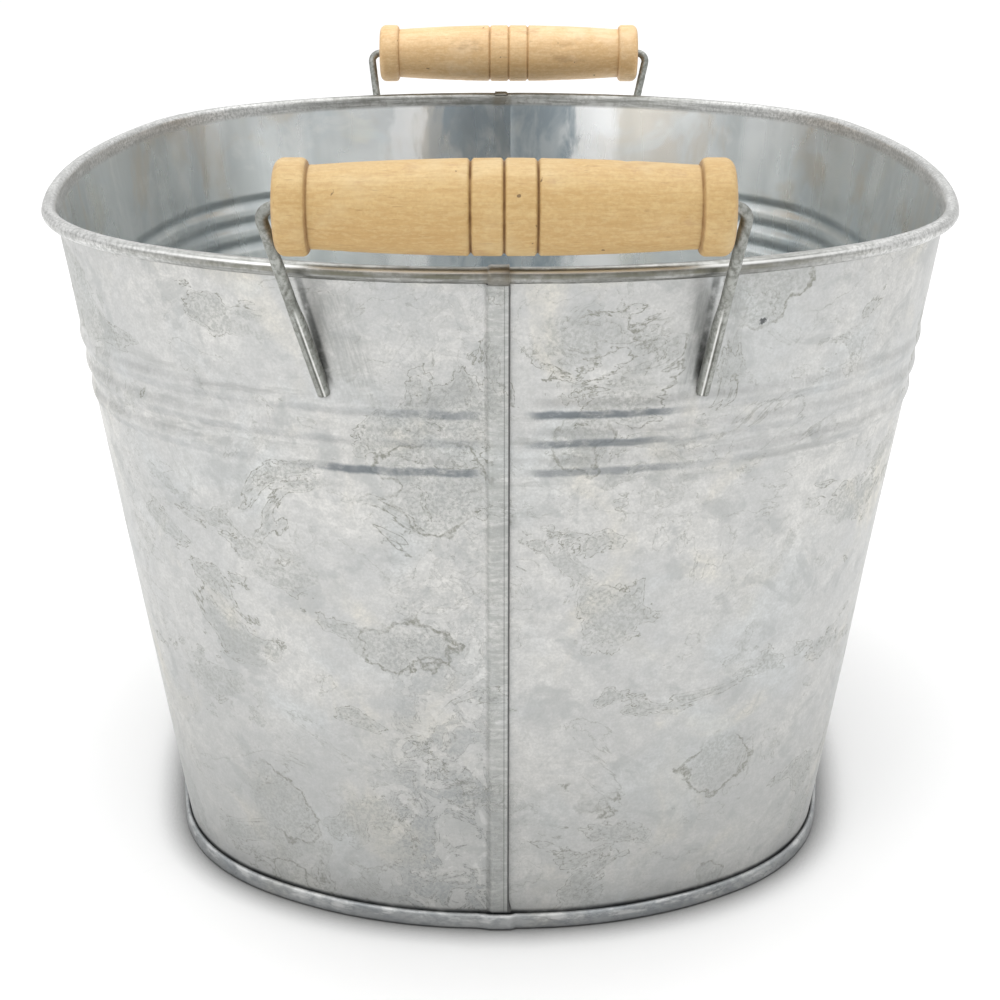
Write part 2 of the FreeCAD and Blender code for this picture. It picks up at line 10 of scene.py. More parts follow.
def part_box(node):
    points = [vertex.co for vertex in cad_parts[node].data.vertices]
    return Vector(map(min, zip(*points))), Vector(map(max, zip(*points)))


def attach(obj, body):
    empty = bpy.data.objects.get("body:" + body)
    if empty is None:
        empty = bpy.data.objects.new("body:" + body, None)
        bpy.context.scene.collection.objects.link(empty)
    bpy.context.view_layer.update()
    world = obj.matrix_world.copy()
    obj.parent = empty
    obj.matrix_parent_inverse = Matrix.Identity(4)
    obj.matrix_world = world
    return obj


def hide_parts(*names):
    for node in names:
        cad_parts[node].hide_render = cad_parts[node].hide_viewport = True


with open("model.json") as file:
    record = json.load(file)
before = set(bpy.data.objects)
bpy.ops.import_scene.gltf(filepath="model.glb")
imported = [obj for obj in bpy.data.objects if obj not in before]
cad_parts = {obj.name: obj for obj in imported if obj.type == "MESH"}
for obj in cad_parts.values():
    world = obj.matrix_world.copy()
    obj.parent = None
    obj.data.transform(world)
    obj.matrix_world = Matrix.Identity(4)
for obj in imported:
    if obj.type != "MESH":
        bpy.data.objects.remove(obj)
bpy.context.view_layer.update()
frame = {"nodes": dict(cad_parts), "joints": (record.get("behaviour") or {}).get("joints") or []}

# Oval galvanised tub with two wood-grip bail handles. Metres; +Z up, the tub's length along Y.

MM = 0.001


# ---------------------------------------------------------------- node materials

class Shader:
    """A material's node tree, built up one node at a time; every call returns an output socket."""

    def __init__(self, name):
        self.material = bpy.data.materials.new(name)
        self.material.use_nodes = True
        self.tree = self.material.node_tree
        self.tree.nodes.clear()

    def add(self, kind, inputs=None, output=0, **settings):
        node = self.tree.nodes.new(kind)
        for key, value in settings.items():
            setattr(node, key, value)
        for key, value in (inputs or {}).items():
            if isinstance(value, bpy.types.NodeSocket):
                self.tree.links.new(value, node.inputs[key])
            else:
                node.inputs[key].default_value = value
        return node.outputs[output] if node.outputs else None

    def place(self):
        """Position on the piece at rest."""
        return self.add("ShaderNodeTexCoord", output=3)

    def facts(self):
        """The three numbers stored with each point of the mesh."""
        return self.split(self.add("ShaderNodeAttribute", output=1, attribute_name="sheet"))

    def moved(self, vector, offset=(0, 0, 0), scale=(1, 1, 1)):
        return self.add("ShaderNodeMapping", {0: vector, 1: offset, 3: scale})

    def math(self, operation, a, b=0.0):
        return self.add("ShaderNodeMath", {0: a, 1: b}, operation=operation)

    def plus(self, a, b):
        return self.math("ADD", a, b)

    def minus(self, a, b):
        return self.math("SUBTRACT", a, b)

    def unsigned(self, value):
        return self.math("ABSOLUTE", value)

    def times(self, *values):
        product = values[0]
        for value in values[1:]:
            product = self.math("MULTIPLY", product, value)
        return product

    def most(self, *values):
        top = values[0]
        for value in values[1:]:
            top = self.math("MAXIMUM", top, value)
        return top

    def fade(self, value, low, high, to_low=0.0, to_high=1.0):
        """Smooth change of a value between two levels."""
        return self.add("ShaderNodeMapRange", {0: value, 1: low, 2: high, 3: to_low, 4: to_high},
                        interpolation_type="SMOOTHSTEP")

    def drop(self, value, low, high):
        return self.fade(value, low, high, 1.0, 0.0)

    def band(self, value, middle, half, soft):
        """1 within `half` of a middle, falling to 0 over `soft`."""
        away = self.unsigned(self.minus(value, middle))
        return self.drop(away, half, half + soft)

    def noise(self, vector, scale, detail=2.0, rough=0.5, warp=0.0):
        return self.add("ShaderNodeTexNoise",
                        {"Vector": vector, "Scale": scale, "Detail": detail, "Roughness": rough,
                         "Distortion": warp})

    def split(self, vector):
        node = self.tree.nodes.new("ShaderNodeSeparateXYZ")
        self.tree.links.new(vector, node.inputs[0])
        return node.outputs[0], node.outputs[1], node.outputs[2]

    def join(self, x, y, z):
        return self.add("ShaderNodeCombineXYZ", {0: x, 1: y, 2: z})

    def ramp(self, value, stops):
        """Colour ramp; stops are (position, grey) or (position, (r, g, b))."""
        node = self.tree.nodes.new("ShaderNodeValToRGB")
        elements = node.color_ramp.elements
        while len(elements) < len(stops):
            elements.new(0.5)
        for element, (position, colour) in zip(elements, stops):
            element.position = position
            element.color = (*colour, 1) if isinstance(colour, tuple) else (colour, colour, colour, 1)
        self.tree.links.new(value, node.inputs[0])
        return node.outputs[0]

    def mix(self, factor, a, b, blend="MIX"):
        a = (*a, 1) if isinstance(a, tuple) else a
        b = (*b, 1) if isinstance(b, tuple) else b
        return self.add("ShaderNodeMix", {0: factor, 6: a, 7: b}, output=2, data_type="RGBA",
                        blend_type=blend)

    def bump(self, height, strength, distance):
        return self.add("ShaderNodeBump", {"Height": height, "Strength": strength, "Distance": distance})

    def finish(self, **inputs):
        """Principled surface with the given inputs; underscores stand for spaces in their names."""
        named = {key.replace("_", " "): value for key, value in inputs.items()}
        surface = self.add("ShaderNodeBsdfPrincipled", named)
        self.add("ShaderNodeOutputMaterial", {0: surface})
        return self.material


def outline(s, field, level, width):
    """Thin line where a field crosses a level."""
    return s.band(field, level, width * 0.25, width)


def zinc_tone(s, p, light, dark):
    """Cloudy zinc colour with faint warm and cool tints."""
    clouds = s.noise(p, 24, 3, 0.55, 0.5)
    tone = s.mix(s.fade(clouds, 0.32, 0.68), dark, light)
    warm = s.noise(s.moved(p, (0.7, 0.2, 0.4)), 34, 3, 0.55, 0.8)
    tone = s.mix(s.fade(warm, 0.54, 0.70, 0.0, 0.6), tone, (light[0], light[1] * 0.965, light[2] * 0.88))
    cool = s.noise(s.moved(p, (0.1, 0.9, 0.3)), 27, 3, 0.55, 0.8)
    tone = s.mix(s.fade(cool, 0.54, 0.72, 0.0, 0.4), tone,
                 (light[0] * 0.86, light[1] * 0.93, light[2] * 0.99))
    return tone, clouds


def islands(s, p):
    """Ragged rounded stains a few centimetres apart: their rims and their middles."""
    shake = s.add("ShaderNodeTexNoise", {"Vector": p, "Scale": 70, "Detail": 6, "Roughness": 0.54}, output=1)
    pushed = s.add("ShaderNodeVectorMath", {0: shake, 1: (26 * MM, 26 * MM, 20 * MM), 2: p},
                   operation="MULTIPLY_ADD")
    cells = {"Vector": pushed, "Scale": 25}
    distance = s.add("ShaderNodeTexVoronoi", cells)
    chance = s.split(s.add("ShaderNodeTexVoronoi", cells, output=1))[0]
    there = s.fade(chance, 0.40, 0.42)
    beyond = s.minus(distance, s.fade(chance, 0.40, 1.0, 0.15, 0.34))
    broken = s.fade(s.noise(s.moved(p, (0.7, 0.3, 0.9)), 48, 3), 0.36, 0.56, 0.12, 1.0)
    rims = s.times(s.band(beyond, 0.0, 0.004, 0.014), there, broken)
    return rims, s.times(s.drop(beyond, -0.05, 0.0), there)


def tide_marks(s, p):
    """Dried stains: fine broken outlines, some double, and the areas that they enclose."""
    large = s.noise(s.moved(p, (0.31, 0.12, 0.77), scale=(0.8, 0.8, 1.15)), 30, 7, 0.56, 0.5)
    small = s.noise(s.moved(p, (0.52, 0.44, 0.10)), 72, 7, 0.60, 0.7)
    where = s.fade(s.noise(s.moved(p, (0.9, 0.35, 0.6)), 15, 2), 0.40, 0.56)
    broken = s.fade(s.noise(s.moved(p, (0.2, 0.6, 0.1)), 55, 3), 0.34, 0.54)
    rims, inner = islands(s, p)
    lines = s.most(rims,
                   s.times(outline(s, large, 0.575, 0.0040), broken),
                   s.times(outline(s, large, 0.600, 0.0030), broken, 0.55),
                   s.times(outline(s, large, 0.425, 0.0036), broken, 0.55),
                   s.times(outline(s, small, 0.600, 0.0060), where, 0.85),
                   s.times(outline(s, small, 0.430, 0.0050), where, 0.50))
    middles = s.most(s.times(inner, 0.8), s.fade(large, 0.575, 0.60, 0.0, 0.8),
                     s.times(s.fade(small, 0.60, 0.62), where, 0.7))
    return lines, middles


def across_seam(s, x, y):
    """Distance across either lock seam, positive on the side of its folded edge."""
    return s.times(x, s.fade(y, -10 * MM, 10 * MM, 1.0, -1.0))


def rib_stripes(s, p, z, below, half, soft, least):
    """Painted shade and dark reflection bands a little below the three ribs' crests, each wavering and
    fading in its own way.
    """
    waver = s.noise(s.moved(p, scale=(1, 1, 0.4)), 90, 5, 0.65)
    level = s.plus(z, s.times(s.minus(waver, 0.5), 2.4 * MM))
    bands = []
    for index, rib in enumerate(RIB_LEVELS):
        along = s.noise(s.moved(p, (0.21 * index, 0.33, 0.5 * index), scale=(1, 1, 0.3)), 34, 5, 0.66)
        bands.append(s.times(s.band(level, rib - below, half, soft), s.fade(along, 0.40, 0.54, least, 1.0)))
    return bands


# strength and reach in millimetres of the three painted shade stripes under the ribs, lowest first
STRIPES_ON_LAPPED_SIDE = ((1.0, 36), (0.85, 18), (0.80, 16))
STRIPES_ON_PLAIN_SIDE = ((0.60, 34), (0.85, 30), (1.0, 34))


def wall_outside():
    s = Shader("galvanised_outside")
    p = s.place()
    x, y, z = s.split(p)
    off = s.facts()[2]
    across = across_seam(s, x, y)
    tone, clouds = zinc_tone(s, p, (0.685, 0.676, 0.652), (0.53, 0.532, 0.525))
    # fine mottle, rolling lines and soft grey blotches
    mottle = s.noise(p, 300, 6, 0.70)
    rolled = s.noise(s.moved(p, scale=(0.45, 0.45, 1.3)), 560, 3, 0.6)
    patch = s.noise(s.moved(p, (0.35, 0.75, 0.15)), 52, 3, 0.5, 1.2)
    blotch = s.noise(s.moved(p, (0.15, 0.65, 0.35)), 80, 6, 0.66, 0.6)
    tone = s.mix(s.fade(patch, 0.46, 0.54, 0.0, 0.30), tone, (0.49, 0.497, 0.50))
    tone = s.mix(s.fade(mottle, 0.38, 0.62, 0.0, 0.38), tone, (0.42, 0.425, 0.415))
    tone = s.mix(s.fade(s.noise(p, 1500, 3, 0.65), 0.40, 0.60, 0.0, 0.28), tone, (0.38, 0.385, 0.375))
    tone = s.mix(s.fade(rolled, 0.38, 0.62, 0.0, 0.15), tone, (0.41, 0.415, 0.41))
    tone = s.mix(s.fade(blotch, 0.53, 0.64, 0.0, 0.50), tone, (0.38, 0.39, 0.385))
    # dried stains
    lines, middles = tide_marks(s, p)
    speck = s.noise(p, 1150, 3, 0.7)
    tone = s.mix(s.times(middles, s.fade(speck, 0.46, 0.56, 0.10, 0.68)), tone, (0.345, 0.355, 0.335))
    tone = s.mix(s.times(lines, s.fade(speck, 0.40, 0.58, 0.42, 0.90)), tone, (0.235, 0.237, 0.205))
    # darker blotched zone beside the seam and toward the base
    tone = s.mix(s.fade(z, 12 * MM, 85 * MM, 0.38, 0.0), tone, (0.36, 0.365, 0.355))
    zone = s.times(s.band(across, -14 * MM, 8 * MM, 12 * MM), s.fade(z, 20 * MM, 125 * MM, 1.0, 0.35))
    crust = s.noise(p, 125, 7, 0.66, 0.8)
    grains = s.fade(speck, 0.40, 0.58, 0.45, 1.0)
    tone = s.mix(s.times(zone, s.fade(crust, 0.46, 0.58), grains, 0.70), tone, (0.30, 0.315, 0.315))
    tone = s.mix(s.times(zone, outline(s, crust, 0.50, 0.016), grains, 0.75), tone, (0.20, 0.205, 0.19))
    tone = s.mix(s.times(zone, s.drop(crust, 0.34, 0.40), 0.35), tone, (0.70, 0.70, 0.68))
    # painted blue-grey shade and dark reflection under the ribs, strongest near the seams
    wear_and_sheen = s.fade(s.noise(s.moved(p, scale=(0.6, 0.6, 1.2)), 150, 6, 0.70), 0.34, 0.52, 0.30, 1.0)
    clear = s.fade(s.unsigned(s.minus(across, 0.6 * MM)), 3.6 * MM, 9.0 * MM)
    stripes = []
    for stripe, lapped, plain in zip(rib_stripes(s, p, z, 1.4 * MM, 0.6 * MM, 0.9 * MM, 0.40),
                                     STRIPES_ON_LAPPED_SIDE, STRIPES_ON_PLAIN_SIDE):
        reach = s.most(s.fade(across, -(lapped[1] + 14) * MM, -lapped[1] * MM, 0.22, lapped[0]),
                       s.fade(across, -1 * MM, 1 * MM))
        other = s.most(s.fade(across, plain[1] * MM, (plain[1] + 14) * MM, plain[0], 0.22),
                       s.drop(across, -1 * MM, 1 * MM))
        stripes.append(s.times(stripe, reach, other))
    stripes = s.times(s.most(*stripes), wear_and_sheen, clear)
    tone = s.mix(s.times(stripes, 0.92), tone, (0.165, 0.185, 0.20))
    # painted grey shade, streaked, over the ribbed band of the wall
    rib_zone_shade = s.times(s.band(z, 143 * MM, 11 * MM, 5 * MM),
                     s.fade(s.noise(s.moved(p, scale=(0.3, 0.3, 2.2)), 110, 6, 0.68), 0.52, 0.66))
    tone = s.mix(s.times(rib_zone_shade, 0.45), tone, (0.34, 0.345, 0.335))
    # the lap: darker, scuffed by the seaming roller, with a painted shadow line at its folded edge and a
    # fainter one inside it
    lap = s.fade(off, 0.45, 1.1)
    rolls = s.noise(s.moved(p, scale=(0.25, 0.25, 1)), 1000, 3, 0.7)
    tone = s.mix(s.times(lap, s.fade(rolls, 0.36, 0.60, 0.10, 0.62)), tone, (0.33, 0.34, 0.325))
    edge = s.times(lap, s.most(s.fade(across, 1.72 * MM, 1.86 * MM),
                               s.times(s.band(across, 0.9 * MM, 0.06 * MM, 0.14 * MM), 0.5)))
    tone = s.mix(s.times(edge, 0.85), tone, (0.08, 0.08, 0.08))
    # brushed strips beside the bail feet, and dirt with painted shadow along the legs
    brushed, streak, shade = foot_marks(s, x, y, z)
    tone = s.mix(s.times(brushed, s.fade(streak, 0.36, 0.62, 0.22, 0.75)), tone, (0.32, 0.33, 0.32))
    shadow_and_smudge = s.fade(s.noise(p, 190, 4, 0.65), 0.34, 0.58, 0.35, 1.0)
    tone = s.mix(s.times(shade, shadow_and_smudge, 0.85), tone, (0.11, 0.115, 0.11))
    # painted shade in the corner over the hem
    recess_darkening = s.times(s.drop(z, 4.5 * MM, 5.9 * MM), s.fade(s.noise(p, 150, 3), 0.2, 0.6, 0.6, 1.0))
    tone = s.mix(s.times(recess_darkening, 0.9), tone, (0.05, 0.053, 0.055))
    # chipped spot right of the front bail
    away = s.add("ShaderNodeVectorMath", {0: s.join(x, 0.0, z), 1: (60.5 * MM, 0, 168.6 * MM)},
                 output=1, operation="DISTANCE")
    ragged = s.plus(away, s.times(s.minus(s.noise(p, 650, 4, 0.6), 0.5), 4.0 * MM))
    chip = s.times(s.drop(ragged, 0.5 * MM, 1.2 * MM), s.drop(y, -50 * MM, 0.0))
    tone = s.mix(s.times(chip, 0.85), tone, (0.06, 0.063, 0.066))
    rough = s.fade(clouds, 0.3, 0.7, 0.44, 0.54)
    rough = s.plus(rough, s.times(s.most(middles, brushed), 0.07))
    height = s.plus(s.times(mottle, 0.5), s.times(rolled, 0.4))
    height = s.minus(height, s.times(lines, 0.25))
    height = s.plus(height, s.times(rolls, lap, 0.9))
    height = s.plus(height, s.times(streak, brushed, 0.6))
    normal = s.bump(height, 0.5, 0.06 * MM)
    return s.finish(Base_Color=tone, Metallic=0.90, Roughness=rough, Normal=normal)


def foot_marks(s, x, y, z):
    """Marks beside the front bail's feet: brushed strips, their streaks, and the shade along the legs."""
    front = s.drop(y, -50 * MM, 0.0)
    tall = s.times(s.fade(z, 150 * MM, 156 * MM), s.drop(z, 176 * MM, 180 * MM))
    edge = s.fade(s.noise(s.join(x, 0.0, z), 190, 3, 0.6), 0.30, 0.50)
    above = s.minus(z, 165 * MM)
    left_slant = s.plus(x, s.times(above, 0.25))
    right_slant = s.minus(x, s.times(above, 0.143))
    strips = s.most(s.times(s.band(left_slant, -35 * MM, 3.0 * MM, 4.0 * MM), 0.7),
                    s.band(right_slant, 44.2 * MM, 1.0 * MM, 1.4 * MM),
                    s.times(s.band(right_slant, 52.0 * MM, 1.4 * MM, 1.8 * MM), 0.6))
    left = s.drop(x, -1 * MM, 1 * MM)
    slant = s.plus(s.times(left_slant, left), s.times(right_slant, s.minus(1.0, left)))
    streak = s.noise(s.join(s.times(slant, 7.0), 0.0, s.times(z, 0.7)), 230, 3, 0.65)
    shade = s.times(s.most(s.band(left_slant, -41.5 * MM, 0.4 * MM, 1.0 * MM),
                           s.band(right_slant, 46.4 * MM, 0.4 * MM, 1.0 * MM)),
                    s.fade(z, 154 * MM, 158 * MM), s.fade(z, 178 * MM, 182 * MM, 1.0, 0.5), front)
    return s.times(strips, tall, edge, front), streak, shade


def wall_inside():
    s = Shader("galvanised_inside")
    p = s.place()
    x, y, z = s.split(p)
    run, rise, _ = s.facts()
    tone, _ = zinc_tone(s, p, (0.78, 0.80, 0.795), (0.62, 0.645, 0.645))
    # broad soft streaks down the sheet, pale cloudy spots and warm stains under the rim
    streaks = s.noise(s.join(run, 0.0, s.times(rise, 0.22)), 44, 4, 0.55, 0.4)
    blotch = s.noise(p, 58, 5, 0.62, 0.6)
    tone = s.mix(s.fade(streaks, 0.38, 0.66, 0.0, 0.50), tone, (0.44, 0.475, 0.475))
    tone = s.mix(s.fade(blotch, 0.52, 0.70, 0.0, 0.45), tone, (0.80, 0.80, 0.78))
    warm = s.times(s.fade(s.noise(s.moved(p, (0.4, 0.1, 0.8)), 28, 4, 0.6, 0.5), 0.50, 0.66),
                   s.fade(rise, 130 * MM, 165 * MM))
    tone = s.mix(s.times(warm, 0.55), tone, (0.60, 0.53, 0.43))
    # rear wall: a painted dark reflection in the middle between painted pale reflections
    rear = s.fade(y, 60 * MM, 120 * MM)
    reflection_noise = s.noise(s.join(run, 0.0, s.times(rise, 0.45)), 95, 4, 0.62, 0.5)
    wander = s.plus(x, s.times(s.minus(reflection_noise, 0.5), 22 * MM))
    flanks = s.most(s.band(wander, -36 * MM, 4 * MM, 5 * MM), s.band(wander, 36 * MM, 6 * MM, 6 * MM))
    tone = s.mix(s.times(rear, flanks, 0.55), tone, (0.92, 0.92, 0.92))
    dark = s.times(rear, s.band(wander, 0.0, 23 * MM, 8 * MM), s.fade(reflection_noise, 0.40, 0.60, 1.0, 0.55))
    tone = s.mix(s.times(dark, 0.85), tone, (0.25, 0.305, 0.345))
    # painted shade in the ribs' hollows
    painted_rib_shade = s.most(*rib_stripes(s, p, z, 0.4 * MM, 0.9 * MM, 1.8 * MM, 0.6))
    tone = s.mix(s.times(painted_rib_shade, 0.42), tone, (0.26, 0.31, 0.33))
    # the rolled bead: grey with lines along it, an olive stripe that is a painted reflection, a painted
    # highlight line, painted shadow along its ragged lower edge, paler toward the tub's ends as painted
    # reflection, and brown dirt at the seams
    bead = s.fade(rise, 181.5 * MM, 183 * MM)
    lines = s.noise(s.join(s.times(run, 0.06), 0.0, rise), 800, 4, 0.7)
    patches = s.noise(s.join(run, 0.0, s.times(rise, 0.7)), 90, 4, 0.6)
    grit = s.noise(p, 420, 5, 0.7)
    rim = s.mix(s.fade(lines, 0.36, 0.64), (0.20, 0.203, 0.19), (0.42, 0.42, 0.405))
    rim = s.mix(s.times(s.fade(grit, 0.44, 0.60), 0.45), rim, (0.15, 0.15, 0.13))
    wear_and_sheen = s.fade(patches, 0.36, 0.60, 0.25, 1.0)
    # painted reflection: the dark olive stripe
    olive = s.times(s.band(rise, 190.0 * MM, 0.25 * MM, 0.45 * MM), wear_and_sheen, 0.75)
    rim = s.mix(olive, rim, (0.13, 0.125, 0.085))
    # painted highlight line along the bead
    rim = s.mix(s.times(s.band(rise, 189.1 * MM, 0.12 * MM, 0.28 * MM), 0.8), rim, (0.86, 0.86, 0.84))
    # painted shadow along the bead's ragged lower edge
    ragged = s.plus(rise, s.times(s.minus(grit, 0.5), 2.2 * MM))
    rim = s.mix(s.times(s.fade(ragged, 191.6 * MM, 192.6 * MM), 0.75), rim, (0.10, 0.10, 0.09))
    # painted reflection: the bead paler toward the tub's ends than in the middle
    fine = s.noise(p, 1000, 4, 0.7)
    pale = s.mix(s.times(s.fade(fine, 0.36, 0.60), s.fade(lines, 0.36, 0.60, 0.45, 1.0)),
                 (0.40, 0.405, 0.395), (0.76, 0.76, 0.75))
    rim = s.mix(s.fade(s.unsigned(x), 45 * MM, 105 * MM, 0.0, 0.85), rim, pale)
    tone = s.mix(bead, tone, rim)
    across = across_seam(s, x, y)
    dirty = s.times(bead, s.band(across, -0.4 * MM, 2.2 * MM, 2.2 * MM),
                    s.fade(patches, 0.36, 0.56, 0.4, 1.0))
    tone = s.mix(s.times(dirty, 0.8), tone, (0.17, 0.15, 0.115))
    metal = s.fade(bead, 0.0, 1.0, 0.88, 0.96)
    rough = s.plus(s.fade(streaks, 0.35, 0.65, 0.23, 0.33), s.times(bead, 0.14))
    height = s.plus(s.times(streaks, 0.12), s.times(s.noise(p, 600, 3, 0.6), 0.3))
    height = s.plus(height, s.times(lines, bead, 0.7))
    normal = s.bump(height, 0.45, 0.06 * MM)
    return s.finish(Base_Color=tone, Metallic=metal, Roughness=rough, Normal=normal)


def pan_sheet():
    s = Shader("galvanised_hem")
    p = s.place()
    z = s.split(p)[2]
    tone, clouds = zinc_tone(s, p, (0.50, 0.508, 0.505), (0.36, 0.37, 0.375))
    lines, middles = tide_marks(s, s.moved(p, scale=(1.4, 1.4, 2.2)))
    rub = s.noise(s.moved(p, scale=(1, 1, 2)), 260, 5, 0.68)
    blotch = s.noise(s.moved(p, scale=(1, 1, 1.6)), 95, 5, 0.66, 0.5)
    tone = s.mix(s.fade(blotch, 0.44, 0.62, 0.0, 0.6), tone, (0.27, 0.285, 0.295))
    tone = s.mix(s.times(middles, 0.5), tone, (0.33, 0.34, 0.345))
    tone = s.mix(s.times(lines, 0.5), tone, (0.20, 0.205, 0.205))
    tone = s.mix(s.fade(rub, 0.42, 0.64, 0.0, 0.5), tone, (0.25, 0.265, 0.275))
    # bright scuffs with painted highlight along the crest of the hem, painted shade at its foot
    scuff_and_highlight = s.fade(s.noise(s.moved(p, scale=(0.5, 0.5, 1.5)), 210, 4, 0.65), 0.52, 0.64)
    crest = s.times(s.band(z, 3.4 * MM, 0.8 * MM, 0.7 * MM), scuff_and_highlight)
    tone = s.mix(s.times(crest, 0.5), tone, (0.74, 0.74, 0.73))
    foot = s.drop(z, 0.1 * MM, 1.0 * MM)
    tone = s.mix(s.times(foot, 0.80), tone, (0.10, 0.105, 0.105))
    rough = s.fade(clouds, 0.3, 0.7, 0.50, 0.62)
    height = s.plus(s.times(rub, 0.6), s.times(s.noise(p, 700, 3, 0.6), 0.4))
    normal = s.bump(height, 0.5, 0.06 * MM)
    return s.finish(Base_Color=tone, Metallic=0.95, Roughness=rough, Normal=normal)


def rim_core():
    s = Shader("rim_core_wire")
    p = s.place()
    drawn = s.noise(p, 300, 4, 0.6)
    tone = s.ramp(drawn, [(0.3, (0.22, 0.21, 0.18)), (0.7, (0.36, 0.35, 0.32))])
    rough = s.fade(drawn, 0.3, 0.7, 0.35, 0.5)
    return s.finish(Base_Color=tone, Metallic=1.0, Roughness=rough, Normal=s.bump(drawn, 0.3, 0.05 * MM))


def bail_steel():
    s = Shader("zinc_wire")
    p = s.place()
    run, angle, mark = s.facts()
    dull = s.noise(p, 160, 4, 0.6, 0.4)
    tone = s.mix(s.fade(dull, 0.34, 0.66), (0.28, 0.288, 0.268), (0.42, 0.428, 0.405))
    scale = s.noise(p, 900, 4, 0.7)
    tone = s.mix(s.fade(scale, 0.45, 0.62, 0.0, 0.6), tone, (0.19, 0.193, 0.172))
    # pressed lower legs: bright painted highlights on the ridges on both sides of a dark groove
    lower = s.fade(run, 20 * MM, 28 * MM)
    turned = s.math("SINE", angle)
    facing = s.math("COSINE", angle)
    ridges = s.most(s.band(turned, 0.60, 0.04, 0.14), s.times(s.band(turned, -0.10, 0.03, 0.12), 0.5))
    ridges = s.times(ridges, s.fade(facing, 0.3, 0.6), lower)
    broken = s.fade(s.noise(s.join(s.times(run, 0.3), turned, 0.0), 420, 3), 0.34, 0.52, 0.35, 1.0)
    tone = s.mix(s.times(ridges, broken, 0.80), tone, (0.86, 0.86, 0.84))
    # painted shade in the twist marks and the foot's groove
    tone = s.mix(s.times(mark, 0.80), tone, (0.085, 0.085, 0.07))
    rough = s.minus(s.fade(scale, 0.35, 0.65, 0.50, 0.64), s.times(ridges, 0.14))
    height = s.plus(s.times(scale, 0.6), s.times(dull, 0.4))
    return s.finish(Base_Color=tone, Metallic=1.0, Roughness=rough,
                    Normal=s.bump(height, 0.45, 0.05 * MM))


def grip_wood(name, shade, warmth, grime_depth):
    """Turned pale wood; `shade` scales its lightness, a painted light and shade for each copy, `warmth` its
    blue, `grime_depth` the dirt in it.
    """
    s = Shader(name)
    p = s.place()
    x = s.facts()[0]
    px, py, pz = s.split(p)

    def drawn_out(stretch, scale, detail, rough, warp=0.0):
        return s.noise(s.join(s.times(px, stretch), py, pz), scale, detail, rough, warp)

    figure = drawn_out(0.09, 130, 4, 0.58, 0.5)
    fibre = drawn_out(0.07, 900, 4, 0.65)
    fleck = drawn_out(0.30, 1500, 3, 0.6)
    pores = drawn_out(0.16, 1500, 2, 0.5)
    tone = s.ramp(figure, [(0.28, (0.53, 0.335, 0.165)), (0.5, (0.60, 0.405, 0.225)),
                           (0.74, (0.655, 0.47, 0.29))])
    tone = s.mix(s.fade(fibre, 0.40, 0.64, 0.0, 0.40), tone, (0.47, 0.285, 0.135))
    tone = s.mix(s.fade(fleck, 0.46, 0.62, 0.0, 0.30), tone, (0.70, 0.53, 0.345))
    tone = s.mix(s.fade(pores, 0.66, 0.75, 0.0, 0.42), tone, (0.31, 0.175, 0.08))
    tone = s.mix(s.fade(s.noise(p, 1300, 3, 0.6), 0.42, 0.60, 0.0, 0.20), tone, (0.42, 0.26, 0.12))
    # pale dusty bloom on top, and a few worn-in dark spots
    bloom = s.noise(p, 70, 3, 0.6)
    tone = s.mix(s.fade(bloom, 0.48, 0.70, 0.0, 0.40), tone, (0.68, 0.535, 0.385))
    grime = s.noise(s.moved(p, scale=(0.5, 1, 1)), 120, 5, 0.7)
    # painted light and shade: the copy's lightness scaled by `shade`
    tone = s.mix(1.0, tone, (shade, shade, shade * warmth), "MULTIPLY")
    tone = s.mix(s.fade(grime, 0.56, 0.72, 0.0, 0.50), tone, (0.36, 0.215, 0.105))
    specks = s.fade(s.noise(p, 380, 2, 0.5), 0.735, 0.765)
    tone = s.mix(s.times(specks, 0.8), tone, (0.12, 0.07, 0.03))
    # dirt held in the grooves, and dirt with painted shade at the collars' feet
    pitch = s.math("PINGPONG", s.plus(x, GROOVE_PITCH * 20.5), GROOVE_PITCH / 2)
    groove = s.times(s.fade(pitch, GROOVE_PITCH / 2 - 0.5 * MM, GROOVE_PITCH / 2 - 0.1 * MM),
                     s.band(x, 0.0, 8.2 * MM, 0.3 * MM))
    corner = s.band(s.unsigned(x), GRIP_HALF - COLLAR_LENGTH, 0.12 * MM, 0.45 * MM)
    recess_darkening = s.fade(grime, 0.35, 0.60, 0.6 * grime_depth, grime_depth)
    tone = s.mix(s.times(groove, recess_darkening), tone, (0.17, 0.085, 0.03))
    tone = s.mix(s.times(corner, recess_darkening, 0.8), tone, (0.25, 0.14, 0.06))
    end_grain = s.fade(s.unsigned(x), GRIP_HALF - 0.8 * MM, GRIP_HALF - 0.1 * MM)
    rings = s.noise(s.join(0.0, py, pz), 600, 3, 0.6, 1.0)
    tone = s.mix(s.times(end_grain, s.fade(rings, 0.35, 0.65, 0.2, 0.7)), tone, (0.42, 0.26, 0.125))
    rough = s.fade(figure, 0.3, 0.7, 0.60, 0.50)
    turning = s.noise(s.join(x, 0.0, 0.0), 1400, 2)
    height = s.plus(s.times(fibre, 0.7), s.times(turning, 0.25))
    height = s.minus(height, s.times(s.fade(pores, 0.64, 0.74), 0.6))
    return s.finish(Base_Color=tone, Roughness=rough, Specular_IOR_Level=0.45,
                    Normal=s.bump(height, 0.5, 0.08 * MM))


# ---------------------------------------------------------------- small tools

def step(value, low, high):
    """Smooth rise from 0 at low to 1 at high."""
    t = min(max((value - low) / (high - low), 0.0), 1.0)
    return t * t * (3 - 2 * t)


def hump(value, low, high, edge):
    """1 between low and high, falling smoothly to 0 over an edge on each side."""
    return step(value, low - edge, low) * (1 - step(value, high, high + edge))


def spaced(low, high, gap):
    count = max(1, math.ceil(abs(high - low) / gap - 1e-6))
    return [low + (high - low) * i / count for i in range(count + 1)]


